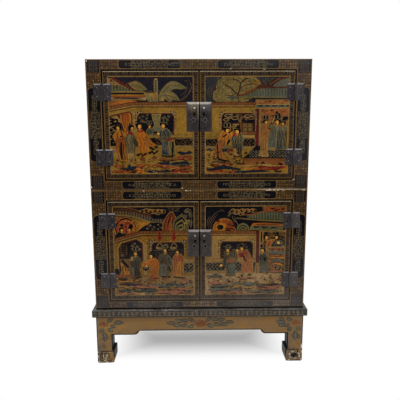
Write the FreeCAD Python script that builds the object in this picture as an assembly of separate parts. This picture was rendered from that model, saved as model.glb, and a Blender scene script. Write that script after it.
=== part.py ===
import FreeCAD, Part
import math
import os

# Cabinet on stand. Two cupboards of one kind stand on each other and on a low
# stand with hoof feet. Each cupboard is closed by a pair of flush doors that
# turn on pin hinges and meet at a pair of lock plates.
#
# Millimetres. X runs from left to right, Y from front to back, Z up. The
# origin is on the floor, under the middle of the stand's top board.

V = FreeCAD.Vector

# ---- Driving dimensions: the cases ----
case_width = 660.0
case_depth = 380.0
opening_height = 321.0  # door opening, the same in both cases
upper_top_rail_height = 31.0
upper_bottom_rail_height = 32.0
lower_top_rail_height = 33.0
lower_bottom_rail_height = 24.0
stile_width = 45.5
frame_thickness = 20.0  # stiles and rails, front to back
side_thickness = 14.0
board_thickness = 12.0  # top, bottom and shelf
back_thickness = 10.0
housing_depth = 5.0  # how far boards and back are let into the sides
tongue_thickness = 6.0  # side board's tongue in the stile
tongue_depth = 6.0
rail_tenon_length = 14.0
rail_tenon_thickness = 8.0
rail_tenon_shoulder = 5.0
shelf_rise = 178.0  # case's underside to shelf's underside
shelf_setback = 10.0  # back of the frame to the shelf's front edge
stop_thickness = 10.0
stop_overlap = 8.0  # how far a stop reaches behind the door
stop_backing = 10.0  # how far it reaches behind its rail

# ---- Driving dimensions: the doors ----
hinge_side_gap = 1.6
meeting_gap = 2.0
door_end_gap = 1.5  # above and below each door
stop_clearance = 0.3

# ---- Driving dimensions: the hinges ----
hinge_height = 49.0
leaf_width = 26.0  # pin's centre to the leaf's outer edge
leaf_thickness = 2.0
leaf_bevel = 3.5
rim_thickness = 0.8  # edge of every bevelled plate
knuckle_radius = 3.0
knuckle_clearance = 0.4
pin_radius = 1.5
pin_clearance = 0.05
pin_head_radius = 2.6
pin_head_height = 1.4
pin_tail = 1.5
top_hinge_drop = 38.0  # opening's top to hinge's top
bottom_hinge_rise = 43.0  # opening's bottom to hinge's bottom
nail_head_radius = 2.4
nail_head_height = 1.3
nail_shank_radius = 1.0
nail_length = 11.0
nail_point = 2.0
nail_edge_distance = 12.0  # leaf's end to the nail
nail_offset = 15.5  # pin's centre to the nail

# ---- Driving dimensions: the lock plates and what is fixed in them ----
lock_plate_width = 36.5
lock_plate_height = 86.0
lock_plate_thickness = 3.0
lock_plate_bevel = 6.5
lock_plate_meeting_bevel = 1.0
lock_plate_drop = 91.0  # opening's top to plate's top
lug_width = 6.0
lug_height = 16.0
lug_reach = 8.0
lug_rounding = 3.5
lug_eye_radius = 2.4
lug_eye_reach = 4.2  # plate's face to the eye's centre
lug_drop = 23.0  # plate's top to lug's centre
lug_inset = 13.0  # door's meeting edge to lug's centre
lug_shank_width = 4.0
lug_tail_length = 12.0
lug_tail_thickness = 1.5
eyelet_radius = 4.2
eyelet_lip = 1.2
eyelet_tube_radius = 2.4
eyelet_bore_radius = 1.6
eyelet_flange_radius = 3.8
eyelet_flange_thickness = 0.8
eyelet_drop = 52.0  # plate's top to eyelet's centre
eyelet_inset = 16.0  # door's meeting edge to eyelet's centre

# ---- Driving dimensions: the stand ----
leg_height = 160.0
leg_width = 48.0
leg_setback = 10.5  # top board's edge to leg's outer face
foot_height = 43.0
foot_bulge = 7.0
foot_taper_height = 16.0
foot_toe_in = 4.0
toe_chamfer_width = 2.0
toe_chamfer_height = 4.0
leg_tenon_width = 24.0
leg_tenon_length = 12.0
top_board_thickness = 23.5
top_board_overhang = 12.0  # beyond the case, all round
top_board_rounding = 3.0
seat_height = 4.5
seat_width = 20.0
seat_setback = 8.0  # case's face to the seat strip
apron_thickness = 20.0
apron_height = 49.5
apron_drop = 13.5  # how much lower the ends hang
apron_drop_run = 17.0  # length of the curve between the two levels
front_drop_length = 72.0
side_drop_length = 45.0
apron_tenon_length = 12.0
apron_tenon_thickness = 8.0
apron_tenon_shoulder = 10.0
batten_width = 30.0
batten_height = 20.0
batten_spacing = 230.0

# ---- Worked out from them ----
half_width = case_width / 2
half_depth = case_depth / 2
front = -half_depth
frame_back = front + frame_thickness
back_panel_front = half_depth - back_thickness
side_inner = half_width - side_thickness
board_end = side_inner + housing_depth
stile_inner = half_width - stile_width

door_outer = stile_inner - hinge_side_gap
door_meeting = meeting_gap / 2
door_back = frame_back - stop_clearance

pin_x = stile_inner - hinge_side_gap / 2
pin_y = front - knuckle_radius - knuckle_clearance
knuckle_reach = knuckle_radius + knuckle_clearance
knuckle_length = (hinge_height - 2 * knuckle_clearance) / 3

board_top = leg_height + top_board_thickness
board_half_width = half_width + top_board_overhang
board_half_depth = half_depth + top_board_overhang
leg_outer_x = board_half_width - leg_setback
leg_outer_y = board_half_depth - leg_setback
leg_inner_x = leg_outer_x - leg_width
leg_inner_y = leg_outer_y - leg_width

lower_base = board_top + seat_height
lower_height = lower_bottom_rail_height + opening_height + lower_top_rail_height
upper_base = lower_base + lower_height


# ---- Shapes used all over ----
def block(x0, x1, y0, y1, z0, z1):
    """Box between two corners."""
    return Part.makeBox(x1 - x0, y1 - y0, z1 - z0, V(x0, y0, z0))


def centred_block(half_x, y0, y1, z0, z1):
    """Box that lies evenly to the left and right of the middle."""
    return block(-half_x, half_x, y0, y1, z0, z1)


def rectangle(x0, x1, z0, z1, y):
    """Upright rectangle at depth y."""
    corners = [V(x0, y, z0), V(x1, y, z0), V(x1, y, z1), V(x0, y, z1)]
    return Part.makePolygon(corners + corners[:1])


def bevelled_plate(x0, x1, z0, z1, thickness, left, right, end):
    """Plate on the front plane, bevelled by left and right at its sides and by end above and below."""
    slab = block(x0, x1, front - rim_thickness, front, z0, z1)
    rim = rectangle(x0, x1, z0, z1, front - rim_thickness)
    crown = rectangle(x0 + left, x1 - right, z0 + end, z1 - end, front - thickness)
    return slab.fuse(Part.makeLoft([rim, crown], True, True)).removeSplitter()


def rod(radius, start, along, length):
    """Cylinder from a point along a direction."""
    return Part.makeCylinder(radius, length, start, along)


def closed_face(edges):
    """Face inside edges that follow one another."""
    return Part.Face(Part.Wire(edges))


def polyline(points):
    """Straight edges from point to point."""
    return [Part.makeLine(a, b) for a, b in zip(points, points[1:])]


def edges_on_front(shape, y):
    """Edges that lie at depth y and run level, or circle there."""
    return [edge for edge in shape.Edges
            if all(abs(end.Y - y) < 0.001 for end in edge.Vertexes)
            and abs(edge.Vertexes[0].Z - edge.Vertexes[-1].Z) < 0.001]


def mirror_x(shape):
    """Left-hand copy of a right-hand piece."""
    return shape.mirror(V(0, 0, 0), V(1, 0, 0))


def mirror_y(shape):
    """Back copy of a front piece."""
    return shape.mirror(V(0, 0, 0), V(0, 1, 0))


def cut_all(shape, tools):
    """The shape with every tool taken out of it."""
    for tool in tools:
        shape = shape.cut(tool)
    return shape


def save(name, *solids):
    """Write one node: a piece, or a group of like pieces."""
    shape = solids[0] if len(solids) == 1 else Part.makeCompound(list(solids))
    shape.exportStep("parts/" + name + ".step")


# ---- The stand: top board, seat strips, aprons, legs and battens ----
def apron(half_length, face, drop_length):
    """Apron along X between two legs, its outer face at -face, with lowered ends and a tenon at each end."""
    top = leg_height
    middle = top - apron_height
    low = middle - apron_drop
    drop_end = half_length - drop_length
    arch_half = drop_end - apron_drop_run
    radius = (apron_drop_run**2 + apron_drop**2) / (2 * apron_drop)
    half_turn = math.asin(min(1.0, apron_drop_run / radius)) / 2
    bend_x = drop_end - radius * math.sin(half_turn)
    bend_z = low + radius * (1 - math.cos(half_turn))

    def at(x, z):
        return V(x, -face, z)

    right = Part.Arc(at(drop_end, low), at(bend_x, bend_z), at(arch_half, middle)).toShape()
    left = Part.Arc(at(-arch_half, middle), at(-bend_x, bend_z), at(-drop_end, low)).toShape()
    above = polyline([at(-drop_end, low), at(-half_length, low), at(-half_length, top), at(half_length, top),
                      at(half_length, low), at(drop_end, low)])
    outline = above + [right, Part.makeLine(at(arch_half, middle), at(-arch_half, middle)), left]
    body = closed_face(outline).extrude(V(0, apron_thickness, 0))
    tenon_front = -face + (apron_thickness - apron_tenon_thickness) / 2
    tenon = centred_block(half_length + apron_tenon_length, tenon_front, tenon_front + apron_tenon_thickness,
                          middle + apron_tenon_shoulder, top - apron_tenon_shoulder)
    return body.fuse(tenon).removeSplitter()


def leg_profile(outer, depth_at, length_along):
    """One side view of a leg: straight outside, with the foot's bulge and taper inside, drawn out to a prism."""
    inner = outer - leg_width
    bulge = inner - foot_bulge
    toe = bulge + foot_toe_in
    radius = (foot_toe_in**2 + foot_taper_height**2) / (2 * foot_toe_in)
    half_turn = math.asin(foot_taper_height / radius) / 2
    bend = depth_at(bulge + radius * (1 - math.cos(half_turn)), foot_taper_height - radius * math.sin(half_turn))
    start = depth_at(bulge, foot_taper_height)
    end = depth_at(toe, 0)
    outline = polyline([end, depth_at(outer - toe_chamfer_width, 0), depth_at(outer, toe_chamfer_height),
                        depth_at(outer, leg_height), depth_at(inner, leg_height), depth_at(inner, foot_height),
                        depth_at(bulge, foot_height), start])
    return closed_face(outline + [Part.Arc(start, bend, end).toShape()]).extrude(length_along)


def leg():
    """Right front leg, carved with its hoof foot from one length, with a tenon for the top board."""
    from_front = leg_profile(leg_outer_x, lambda x, z: V(x, -leg_outer_y, z), V(0, leg_outer_y, 0))
    from_side = leg_profile(leg_outer_y, lambda y, z: V(0, -y, z), V(leg_outer_x, 0, 0))
    inset = (leg_width - leg_tenon_width) / 2
    tenon = block(leg_inner_x + inset, leg_outer_x - inset, -leg_outer_y + inset, -leg_inner_y - inset,
                  leg_height, leg_height + leg_tenon_length)
    return from_front.common(from_side).fuse(tenon).removeSplitter()


def seat_strips():
    """Four strips on the top board that the lower case stands on, set back so that a dark line shows."""
    outer_x = half_width - seat_setback
    outer_y = half_depth - seat_setback
    long_strip = centred_block(outer_x, -outer_y, -outer_y + seat_width, board_top, lower_base)
    short_strip = block(outer_x - seat_width, outer_x, -outer_y + seat_width, outer_y - seat_width,
                        board_top, lower_base)
    return [long_strip, mirror_y(long_strip), short_strip, mirror_x(short_strip)]


def build_stand():
    """Make every piece of the stand."""
    front_apron = apron(leg_inner_x, leg_outer_y, front_drop_length)
    turned = apron(leg_inner_y, leg_outer_x, side_drop_length)
    right_apron = turned.rotated(V(0, 0, 0), V(0, 0, 1), 90)
    right_leg = leg()
    legs = {
        "front_right": right_leg,
        "front_left": mirror_x(right_leg),
        "back_right": mirror_y(right_leg),
        "back_left": mirror_x(mirror_y(right_leg)),
    }
    aprons = {
        "front": front_apron,
        "back": mirror_y(front_apron),
        "right": right_apron,
        "left": mirror_x(right_apron),
    }
    board = Part.makeBox(2 * board_half_width, 2 * board_half_depth, top_board_thickness,
                         V(-board_half_width, -board_half_depth, leg_height))
    board = board.makeFillet(top_board_rounding, board.Edges)
    save("stand_top_board", cut_all(board, legs.values()))
    for place, piece in legs.items():
        save("stand_leg_" + place, cut_all(piece, aprons.values()))
    for place, piece in aprons.items():
        save("stand_apron_" + place, piece)
    save("stand_seat_strips", *seat_strips())
    batten_end = leg_outer_y - apron_thickness
    batten = block(batten_spacing / 2, batten_spacing / 2 + batten_width, -batten_end, batten_end,
                   leg_height - batten_height, leg_height)
    save("stand_battens", batten, mirror_x(batten))


# ---- Hinges: bevelled leaves, knuckles, pin and round-headed nails ----
def nail(x, z):
    """Nail driven in from the front through a hinge leaf: domed head, shank and point, turned about Y."""
    head = front - leaf_thickness
    tip = head + nail_length
    profile = polyline([V(x, tip, z), V(x + nail_shank_radius, tip - nail_point, z),
                        V(x + nail_shank_radius, head, z), V(x + nail_head_radius, head, z)])
    dome = (nail_head_radius**2 + nail_head_height**2) / (2 * nail_head_height)
    half_turn = math.asin(min(1.0, nail_head_radius / dome)) / 2
    crown = V(x, head - nail_head_height, z)
    middle = V(x + dome * math.sin(half_turn), head - nail_head_height + dome * (1 - math.cos(half_turn)), z)
    profile.append(Part.Arc(V(x + nail_head_radius, head, z), middle, crown).toShape())
    profile.append(Part.makeLine(crown, V(x, tip, z)))
    return closed_face(profile).revolve(V(x, 0, z), V(0, 1, 0), 360)


def knuckle(base, side):
    """Knuckle round the pin, with the web that joins it to the leaf on its side (1 case, -1 door)."""
    barrel = rod(knuckle_radius, V(pin_x, pin_y, base), V(0, 0, 1), knuckle_length)
    web_ends = sorted([pin_x, pin_x + side * (knuckle_reach + rim_thickness)])
    web = block(web_ends[0], web_ends[1], front - leaf_thickness, front, base, base + knuckle_length)
    return barrel.fuse(web)


def hinge(base):
    """Right-hand hinge with its lower end at base: case leaf, door leaf, pin, nails in the case, nails in the door."""
    top = base + hinge_height
    pitch = knuckle_length + knuckle_clearance
    case_leaf = bevelled_plate(pin_x + knuckle_reach, pin_x + leaf_width, base, top,
                               leaf_thickness, 0, leaf_bevel, leaf_bevel)
    door_leaf = bevelled_plate(pin_x - leaf_width, pin_x - knuckle_reach, base, top,
                               leaf_thickness, leaf_bevel, 0, leaf_bevel)
    case_leaf = case_leaf.fuse(knuckle(base, 1)).fuse(knuckle(base + 2 * pitch, 1))
    door_leaf = door_leaf.fuse(knuckle(base + pitch, -1))
    levels = [base + nail_edge_distance, top - nail_edge_distance]
    case_nails = [nail(pin_x + nail_offset, level) for level in levels]
    door_nails = [nail(pin_x - nail_offset, level) for level in levels]
    bore = rod(pin_radius + pin_clearance, V(pin_x, pin_y, base), V(0, 0, 1), hinge_height)
    pin = rod(pin_radius, V(pin_x, pin_y, base - pin_tail), V(0, 0, 1), hinge_height + pin_tail)
    head = rod(pin_head_radius, V(pin_x, pin_y, top), V(0, 0, 1), pin_head_height)
    case_leaf = cut_all(case_leaf.removeSplitter(), [bore] + case_nails)
    door_leaf = cut_all(door_leaf.removeSplitter(), [bore] + door_nails)
    return case_leaf, door_leaf, pin.fuse(head), case_nails, door_nails


# ---- Lock plate with its lug and eyelet, on the right-hand door ----
def lock_lug(level):
    """Lug with an eye for a padlock's bar, on a square shank whose two tails are spread behind the door."""
    x = door_meeting + lug_inset
    plate_face = front - lock_plate_thickness
    nose = block(x - lug_width / 2, x + lug_width / 2, plate_face - lug_reach, plate_face,
                 level - lug_height / 2, level + lug_height / 2)
    nose = nose.makeFillet(lug_rounding, edges_on_front(nose, plate_face - lug_reach))
    eye = rod(lug_eye_radius, V(x - lug_width / 2, plate_face - lug_eye_reach, level), V(1, 0, 0), lug_width)
    half_shank = lug_shank_width / 2
    shank = block(x - half_shank, x + half_shank, plate_face, door_back, level - half_shank, level + half_shank)
    tails = block(x - half_shank, x + half_shank, door_back, door_back + lug_tail_thickness,
                  level - lug_tail_length, level + lug_tail_length)
    return nose.cut(eye).fuse(shank).fuse(tails).removeSplitter()


def pull_eyelet(level):
    """Eyelet that a door pull would hang in (lip, tube and flange behind the door), and the hole for its tube."""
    x = door_meeting + eyelet_inset
    plate_face = front - lock_plate_thickness
    through = door_back - plate_face
    lip = rod(eyelet_radius, V(x, plate_face - eyelet_lip, level), V(0, 1, 0), eyelet_lip)
    lip = lip.makeFillet(eyelet_lip / 2, edges_on_front(lip, plate_face - eyelet_lip))
    hole = rod(eyelet_tube_radius, V(x, plate_face, level), V(0, 1, 0), through)
    flange = rod(eyelet_flange_radius, V(x, door_back, level), V(0, 1, 0), eyelet_flange_thickness)
    bore_length = eyelet_lip + through + eyelet_flange_thickness
    bore = rod(eyelet_bore_radius, V(x, plate_face - eyelet_lip, level), V(0, 1, 0), bore_length)
    return lip.fuse(hole).fuse(flange).cut(bore).removeSplitter(), hole


def lock_set(opening_top):
    """Lock plate, the lug and eyelet that hold it to the door, and the eyelet's hole."""
    plate_top = opening_top - lock_plate_drop
    plate = bevelled_plate(door_meeting, door_meeting + lock_plate_width, plate_top - lock_plate_height, plate_top,
                           lock_plate_thickness, lock_plate_meeting_bevel, lock_plate_bevel, lock_plate_bevel)
    lug = lock_lug(plate_top - lug_drop)
    eyelet, hole = pull_eyelet(plate_top - eyelet_drop)
    return cut_all(plate, [lug, hole]), lug, eyelet, hole


# ---- One case: framed front, sides, boards, back, shelf and door stops ----
def rail(base, height):
    """Front rail between the stiles, with a tenon at each end."""
    body = centred_block(stile_inner, front, frame_back, base, base + height)
    tenon_front = front + (frame_thickness - rail_tenon_thickness) / 2
    tenon = centred_block(stile_inner + rail_tenon_length, tenon_front, tenon_front + rail_tenon_thickness,
                          base + rail_tenon_shoulder, base + height - rail_tenon_shoulder)
    return body.fuse(tenon).removeSplitter()


def side_board(base, top):
    """Right side, with a tongue along its front edge, before its housings are cut."""
    body = block(side_inner, half_width, frame_back, half_depth, base, top)
    tongue_x = side_inner + (side_thickness - tongue_thickness) / 2
    tongue = block(tongue_x, tongue_x + tongue_thickness, frame_back - tongue_depth, frame_back, base, top)
    return body.fuse(tongue).removeSplitter()


def build_case(prefix, base, top_rail_height, bottom_rail_height):
    """Make every piece of one case and its doors, standing at height base."""
    opening_bottom = base + bottom_rail_height
    opening_top = opening_bottom + opening_height
    top = opening_top + top_rail_height

    top_board = centred_block(board_end, frame_back, back_panel_front, top - board_thickness, top)
    bottom_board = centred_block(board_end, frame_back, back_panel_front, base, base + board_thickness)
    back_panel = centred_block(board_end, back_panel_front, half_depth, base, top)
    shelf = centred_block(board_end, frame_back + shelf_setback, back_panel_front,
                          base + shelf_rise, base + shelf_rise + board_thickness)
    upper_rail = rail(opening_top, top_rail_height)
    lower_rail = rail(base, bottom_rail_height)
    upper_stop = centred_block(side_inner, frame_back, frame_back + stop_thickness,
                               opening_top - stop_overlap, opening_top + stop_backing)
    lower_stop = centred_block(side_inner, frame_back, frame_back + stop_thickness,
                               opening_bottom - stop_backing, opening_bottom + stop_overlap)

    hinges = [hinge(opening_top - top_hinge_drop - hinge_height), hinge(opening_bottom + bottom_hinge_rise)]
    case_nails = [one for parts in hinges for one in parts[3]]
    door_nails = [one for parts in hinges for one in parts[4]]

    side = side_board(base, top)
    stile = block(stile_inner, half_width, front, frame_back, base, top)
    stile = cut_all(stile, [side, upper_rail, lower_rail] + case_nails)
    side = cut_all(side, [top_board, bottom_board, back_panel, shelf])

    plate, lug, eyelet, eyelet_hole = lock_set(opening_top)
    panel = block(door_meeting, door_outer, front, door_back, opening_bottom + door_end_gap,
                  opening_top - door_end_gap)
    panel = cut_all(panel, [lug, eyelet_hole] + door_nails)

    save(prefix + "_top_board", top_board)
    save(prefix + "_bottom_board", bottom_board)
    save(prefix + "_back_panel", back_panel)
    save(prefix + "_shelf", shelf)
    save(prefix + "_top_rail", upper_rail)
    save(prefix + "_bottom_rail", lower_rail)
    save(prefix + "_door_stops", upper_stop, lower_stop)
    case_leaves = [parts[0] for parts in hinges]
    pins = [parts[2] for parts in hinges]
    save(prefix + "_hinge_case_leaves", *case_leaves, *map(mirror_x, case_leaves))
    save(prefix + "_hinge_pins", *pins, *map(mirror_x, pins))
    save(prefix + "_hinge_case_nails", *case_nails, *map(mirror_x, case_nails))

    for hand, placed in (("right", lambda shape: shape), ("left", mirror_x)):
        name = prefix + "_" + hand
        save(name + "_side", placed(side))
        save(name + "_stile", placed(stile))
        save(name + "_door_panel", placed(panel))
        save(name + "_lock_plate", placed(plate))
        save(name + "_lock_fittings", placed(lug), placed(eyelet))
        save(name + "_hinge_door_leaves", *[placed(parts[1]) for parts in hinges])
        save(name + "_hinge_door_nails", *map(placed, door_nails))


os.makedirs("parts", exist_ok=True)
build_stand()
build_case("lower", lower_base, lower_top_rail_height, lower_bottom_rail_height)
build_case("upper", upper_base, upper_top_rail_height, upper_bottom_rail_height)
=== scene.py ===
import math

import bpy
import numpy as np
from mathutils import Matrix


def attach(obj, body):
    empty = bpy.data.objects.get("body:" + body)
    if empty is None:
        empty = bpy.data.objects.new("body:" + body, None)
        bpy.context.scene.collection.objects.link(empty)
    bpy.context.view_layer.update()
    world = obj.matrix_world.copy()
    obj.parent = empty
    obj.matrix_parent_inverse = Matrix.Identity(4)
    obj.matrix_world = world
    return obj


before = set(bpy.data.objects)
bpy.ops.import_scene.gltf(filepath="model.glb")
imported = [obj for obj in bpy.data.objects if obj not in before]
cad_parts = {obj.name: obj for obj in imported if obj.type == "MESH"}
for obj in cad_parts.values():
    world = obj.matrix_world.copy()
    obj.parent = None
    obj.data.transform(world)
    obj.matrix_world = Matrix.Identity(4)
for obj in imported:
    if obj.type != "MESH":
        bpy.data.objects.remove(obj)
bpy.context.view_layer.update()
scene = bpy.context.scene
scene.view_settings.view_transform = "Standard"


# ---- The studio ----
# A white floor that runs out into white, one wide softbox in front and above, one overhead, and an even white
# room. The camera stands before the doors at the height of the upper ones and looks slightly down.
class Finish:
    """A material: one Principled shader and short ways to add the nodes that feed it."""

    def __init__(self, name, constants):
        self.material = bpy.data.materials.new(name)
        self.material.use_nodes = True
        self.tree = self.material.node_tree
        self.shader = self.tree.nodes["Principled BSDF"]
        for socket, value in constants.items():
            self.shader.inputs[socket].default_value = value
        coordinates = self.tree.nodes.new("ShaderNodeTexCoord")
        self.place = coordinates.outputs["Object"]
        self.facing = coordinates.outputs["Normal"]

    def add(self, kind, inputs, **settings):
        """Node of a kind; inputs are constants or other nodes' outputs."""
        node = self.tree.nodes.new("ShaderNode" + kind)
        for key, value in settings.items():
            setattr(node, key, value)
        for key, value in inputs.items():
            if isinstance(value, bpy.types.NodeSocket):
                self.tree.links.new(value, node.inputs[key])
            else:
                node.inputs[key].default_value = value
        return node

    def math(self, operation, *values):
        """Result of one sum or comparison."""
        return self.add("Math", dict(enumerate(values)), operation=operation).outputs[0]

    def times(self, first, *others):
        """Product of all the values."""
        for value in others:
            first = self.math("MULTIPLY", first, value)
        return first

    def ramp(self, value, low, high, start=0.0, end=1.0, kind="LINEAR"):
        """Start below low, end above high, straight or smooth between."""
        inputs = {"Value": value, "From Min": low, "From Max": high, "To Min": start, "To Max": end}
        return self.add("MapRange", inputs, interpolation_type=kind).outputs[0]

    def stretched(self, x, y, z):
        """Place with each direction scaled."""
        return self.add("Mapping", {"Vector": self.place, "Scale": (x, y, z)}).outputs[0]

    def noise(self, scale, low=0.35, high=0.65, detail=4.0, place=None):
        """Cloudy pattern of a scale (cells in a metre), spread from 0 to 1 between two levels."""
        inputs = {"Vector": place or self.place, "Scale": scale, "Detail": detail}
        return self.ramp(self.add("TexNoise", inputs).outputs[0], low, high)

    def uneven(self, start, end, scale, low=0.2, high=0.8, detail=4.0):
        """Cloudy values between start and end."""
        return self.ramp(self.noise(scale, low, high, detail), 0.0, 1.0, start, end)

    def mix(self, share, one, other, blend="MIX"):
        """Blend of two colours; share is that of the other."""
        return self.add("MixRGB", {0: share, 1: one, 2: other}, blend_type=blend).outputs[0]

    def bump(self, height, distance, strength=1.0):
        """Let a height between 0 and 1 tilt the light; distance is the height's metres."""
        inputs = {"Height": height, "Distance": distance, "Strength": strength}
        self.feed("Normal", self.add("Bump", inputs).outputs[0])

    def feed(self, socket, output):
        """Join a node's output to the shader."""
        self.tree.links.new(output, self.shader.inputs[socket])

    def axes(self, vector=None):
        """X, Y and Z of a vector, of the place if none is given."""
        return self.add("SeparateXYZ", {0: vector or self.place}).outputs


def tone(red, green, blue):
    """Colour named by its screen values 0 to 255, as light: the screen's curve undone."""
    screen = np.array([red, green, blue]) / 255
    light = np.where(screen > 0.04045, ((screen + 0.055) / 1.055) ** 2.4, screen / 12.92)
    return (*light.tolist(), 1.0)


def seen_directly(tree):
    """1 for camera, mirror and see-through rays, 0 for the rays that light things."""
    path = tree.nodes.new("ShaderNodeLightPath")
    total = path.outputs["Is Camera Ray"]
    for name in ("Is Glossy Ray", "Is Transmission Ray"):
        larger = tree.nodes.new("ShaderNodeMath")
        larger.operation = "MAXIMUM"
        tree.links.new(total, larger.inputs[0])
        tree.links.new(path.outputs[name], larger.inputs[1])
        total = larger.outputs[0]
    return total


def softbox(name, place, target, width, height, watts):
    """Rectangular lamp: tipped from straight down by the angle between its line of sight and the vertical,
    and then turned about the vertical to face its target."""
    lamp = bpy.data.lights.new(name, "AREA")
    lamp.shape = "RECTANGLE"
    lamp.size, lamp.size_y, lamp.energy = width, height, watts
    holder = bpy.data.objects.new(name, lamp)
    scene.collection.objects.link(holder)
    holder.location = place
    away = np.array(place) - np.array(target)
    level = math.hypot(away[0], away[1])
    holder.rotation_euler = (math.atan2(level, away[2]), 0, math.atan2(away[0], -away[1]))


room = bpy.data.worlds.new("room")
scene.world = room
room.use_nodes = True
room_light = room.node_tree.nodes["Background"]
room_light.inputs["Color"].default_value = (1, 1, 1, 1)
room_level = room.node_tree.nodes.new("ShaderNodeMapRange")
room_level.inputs["To Min"].default_value = 0.32
room.node_tree.links.new(seen_directly(room.node_tree), room_level.inputs["Value"])
room.node_tree.links.new(room_level.outputs[0], room_light.inputs["Strength"])

softbox("front_softbox", (0.0, -3.0, 2.4), (0.0, -0.19, 0.55), 2.4, 1.3, 46)
softbox("upper_softbox", (0.0, -1.3, 2.55), (0.0, -0.19, 0.8), 1.8, 0.7, 22)

floor_half = 6.0
floor_corners = [(floor_half * x, floor_half * y, 0) for x, y in ((-1, -1), (1, -1), (1, 1), (-1, 1))]
floor_mesh = bpy.data.meshes.new("studio_floor")
floor_mesh.from_pydata(floor_corners, [], [(0, 1, 2, 3)])
studio_floor = bpy.data.objects.new("studio_floor", floor_mesh)
scene.collection.objects.link(studio_floor)
white = Finish("studio_floor", {"Base Color": (0.93, 0.93, 0.93, 1), "Roughness": 0.9,
                                "Specular IOR Level": 0.0})
across, along, _ = white.axes()
beside = white.ramp(white.math("ABSOLUTE", across), 0.14, 0.335, kind="SMOOTHSTEP")
before = white.ramp(along, -0.195, -0.04, 1.0, 0.0, "SMOOTHSTEP")
behind = white.ramp(along, -0.04, 0.12, 0.0, 0.7, "SMOOTHSTEP")
beyond = white.ramp(along, 0.15, 0.5, kind="SMOOTHSTEP")
bright = 0.0
for part in (beside, before, behind, beyond):
    bright = white.math("MAXIMUM", part, bright)
share = white.times(white.ramp(bright, 0.0, 1.0, 0.34, 1.0), seen_directly(white.tree))
glow = white.add("Emission", {"Color": (1, 1, 1, 1), "Strength": 1.0}).outputs[0]
blend = white.add("MixShader", {0: share, 1: white.shader.outputs[0], 2: glow}).outputs[0]
white.tree.links.new(blend, white.tree.nodes["Material Output"].inputs["Surface"])
floor_mesh.materials.append(white.material)

lens = bpy.data.cameras.new("camera")
lens.lens = 40.5
camera = bpy.data.objects.new("camera", lens)
scene.collection.objects.link(camera)
turn, dip, tilt = 0.013771, 0.171796, -0.003730
camera_place = (-0.01724, -1.54557, 0.77012)
ahead = np.array([math.sin(turn) * math.cos(dip), math.cos(turn) * math.cos(dip), -math.sin(dip)])
right = np.array([math.cos(turn), -math.sin(turn), 0.0])
up = np.cross(right, ahead)
axes = np.array([right * math.cos(tilt) + up * math.sin(tilt),
                 up * math.cos(tilt) - right * math.sin(tilt), -ahead])
turned = np.eye(4)
turned[:3, :3] = axes.T
turned[:3, 3] = camera_place
camera.matrix_world = Matrix(turned)
scene.camera = camera


# ---- The stand's legs and aprons ----
# Carved wood under a thick ochre lacquer. The faces that look inwards and the feet's upper ledges are
# coloured near black as painted shade. Knocks along the feet show the white chalk ground below the lacquer.
def worn(finish, low, high, where):
    """Small chips: fine noise over a limit that falls where `where` is 1."""
    fine = finish.noise(170.0, 0.0, 1.0, 6.0)
    patch = finish.noise(24.0, 0.3, 0.7)
    level = finish.math("ADD", fine, finish.times(patch, where, 0.16))
    return finish.ramp(level, low, high)


def crackle(finish, cells, width, distance):
    """Age cracks: dark where two cells of a cell pattern meet; returns 1 on the cracks, and gives the surface
    its bump together with the brush marks."""
    swirl = finish.add("TexNoise", {"Vector": finish.place, "Scale": 55.0}).outputs[1]
    shaken = finish.mix(0.012, finish.place, swirl)
    edge = finish.add("TexVoronoi", {"Vector": shaken, "Scale": cells}, feature="DISTANCE_TO_EDGE").outputs[0]
    crack = finish.ramp(edge, 0.0, width, 1.0, 0.0)
    some = finish.times(crack, finish.noise(11.0, 0.42, 0.62))
    marks = finish.times(finish.noise(240.0, 0.2, 0.8), 0.35)
    finish.bump(finish.math("SUBTRACT", marks, some), distance)
    return some


chalk = tone(196, 186, 164)
ochre = Finish("ochre_lacquer", {"Specular IOR Level": 0.15})
streaks = ochre.noise(30.0, 0.3, 0.7, 5.0, ochre.stretched(0.18, 0.18, 1.0))
body_colour = ochre.mix(streaks, tone(128, 91, 42), tone(146, 108, 52))
body_colour = ochre.mix(ochre.times(ochre.noise(9.0), 0.35), body_colour, tone(116, 87, 50))
x, y, z = ochre.axes()
nx, ny, nz = ochre.axes(ochre.facing)
inward = ochre.math("MINIMUM", ochre.times(x, nx), ochre.times(y, ny))
# painted shade: faces that look in towards the stand's middle, and the feet's upper ledges, go near black
inward_shade = ochre.ramp(inward, -0.14, -0.08, 1.0, 0.0)
foot_ledge_shade = ochre.times(ochre.ramp(nz, 0.5, 0.6), ochre.ramp(z, 0.05, 0.06, 1.0, 0.0))
inward_shade = ochre.math("MAXIMUM", inward_shade, foot_ledge_shade)
low_down = ochre.ramp(z, 0.045, 0.12, 0.85, 0.45)
dulled = ochre.times(low_down, ochre.noise(26.0, 0.25, 0.6))
body_colour = ochre.mix(dulled, body_colour, tone(106, 92, 76))
grime = ochre.times(ochre.ramp(z, 0.09, 0.125, 0.6, 0.0), ochre.noise(70.0, 0.48, 0.68, 6.0))
body_colour = ochre.mix(grime, body_colour, tone(64, 56, 48))
body_colour = ochre.mix(inward_shade, body_colour, tone(26, 24, 27))
body_colour = ochre.mix(worn(ochre, 0.735, 0.76, ochre.ramp(z, 0.02, 0.055, 1.3, 0.0)), body_colour, chalk)
ochre.feed("Base Color", body_colour)
ochre.feed("Roughness", ochre.uneven(0.38, 0.58, 35.0))
crackle(ochre, 70.0, 0.03, 0.00025)


def dress(finish, *names):
    """Give CAD nodes a finish in place of their own."""
    for name in names:
        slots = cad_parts[name].data.materials
        slots.clear()
        slots.append(finish.material)


leg_places = [depth + "_" + hand for depth in ("front", "back") for hand in ("left", "right")]
dress(ochre, *["stand_leg_" + place for place in leg_places])
dress(ochre, *["stand_apron_" + place for place in ("front", "back", "left", "right")])

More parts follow.
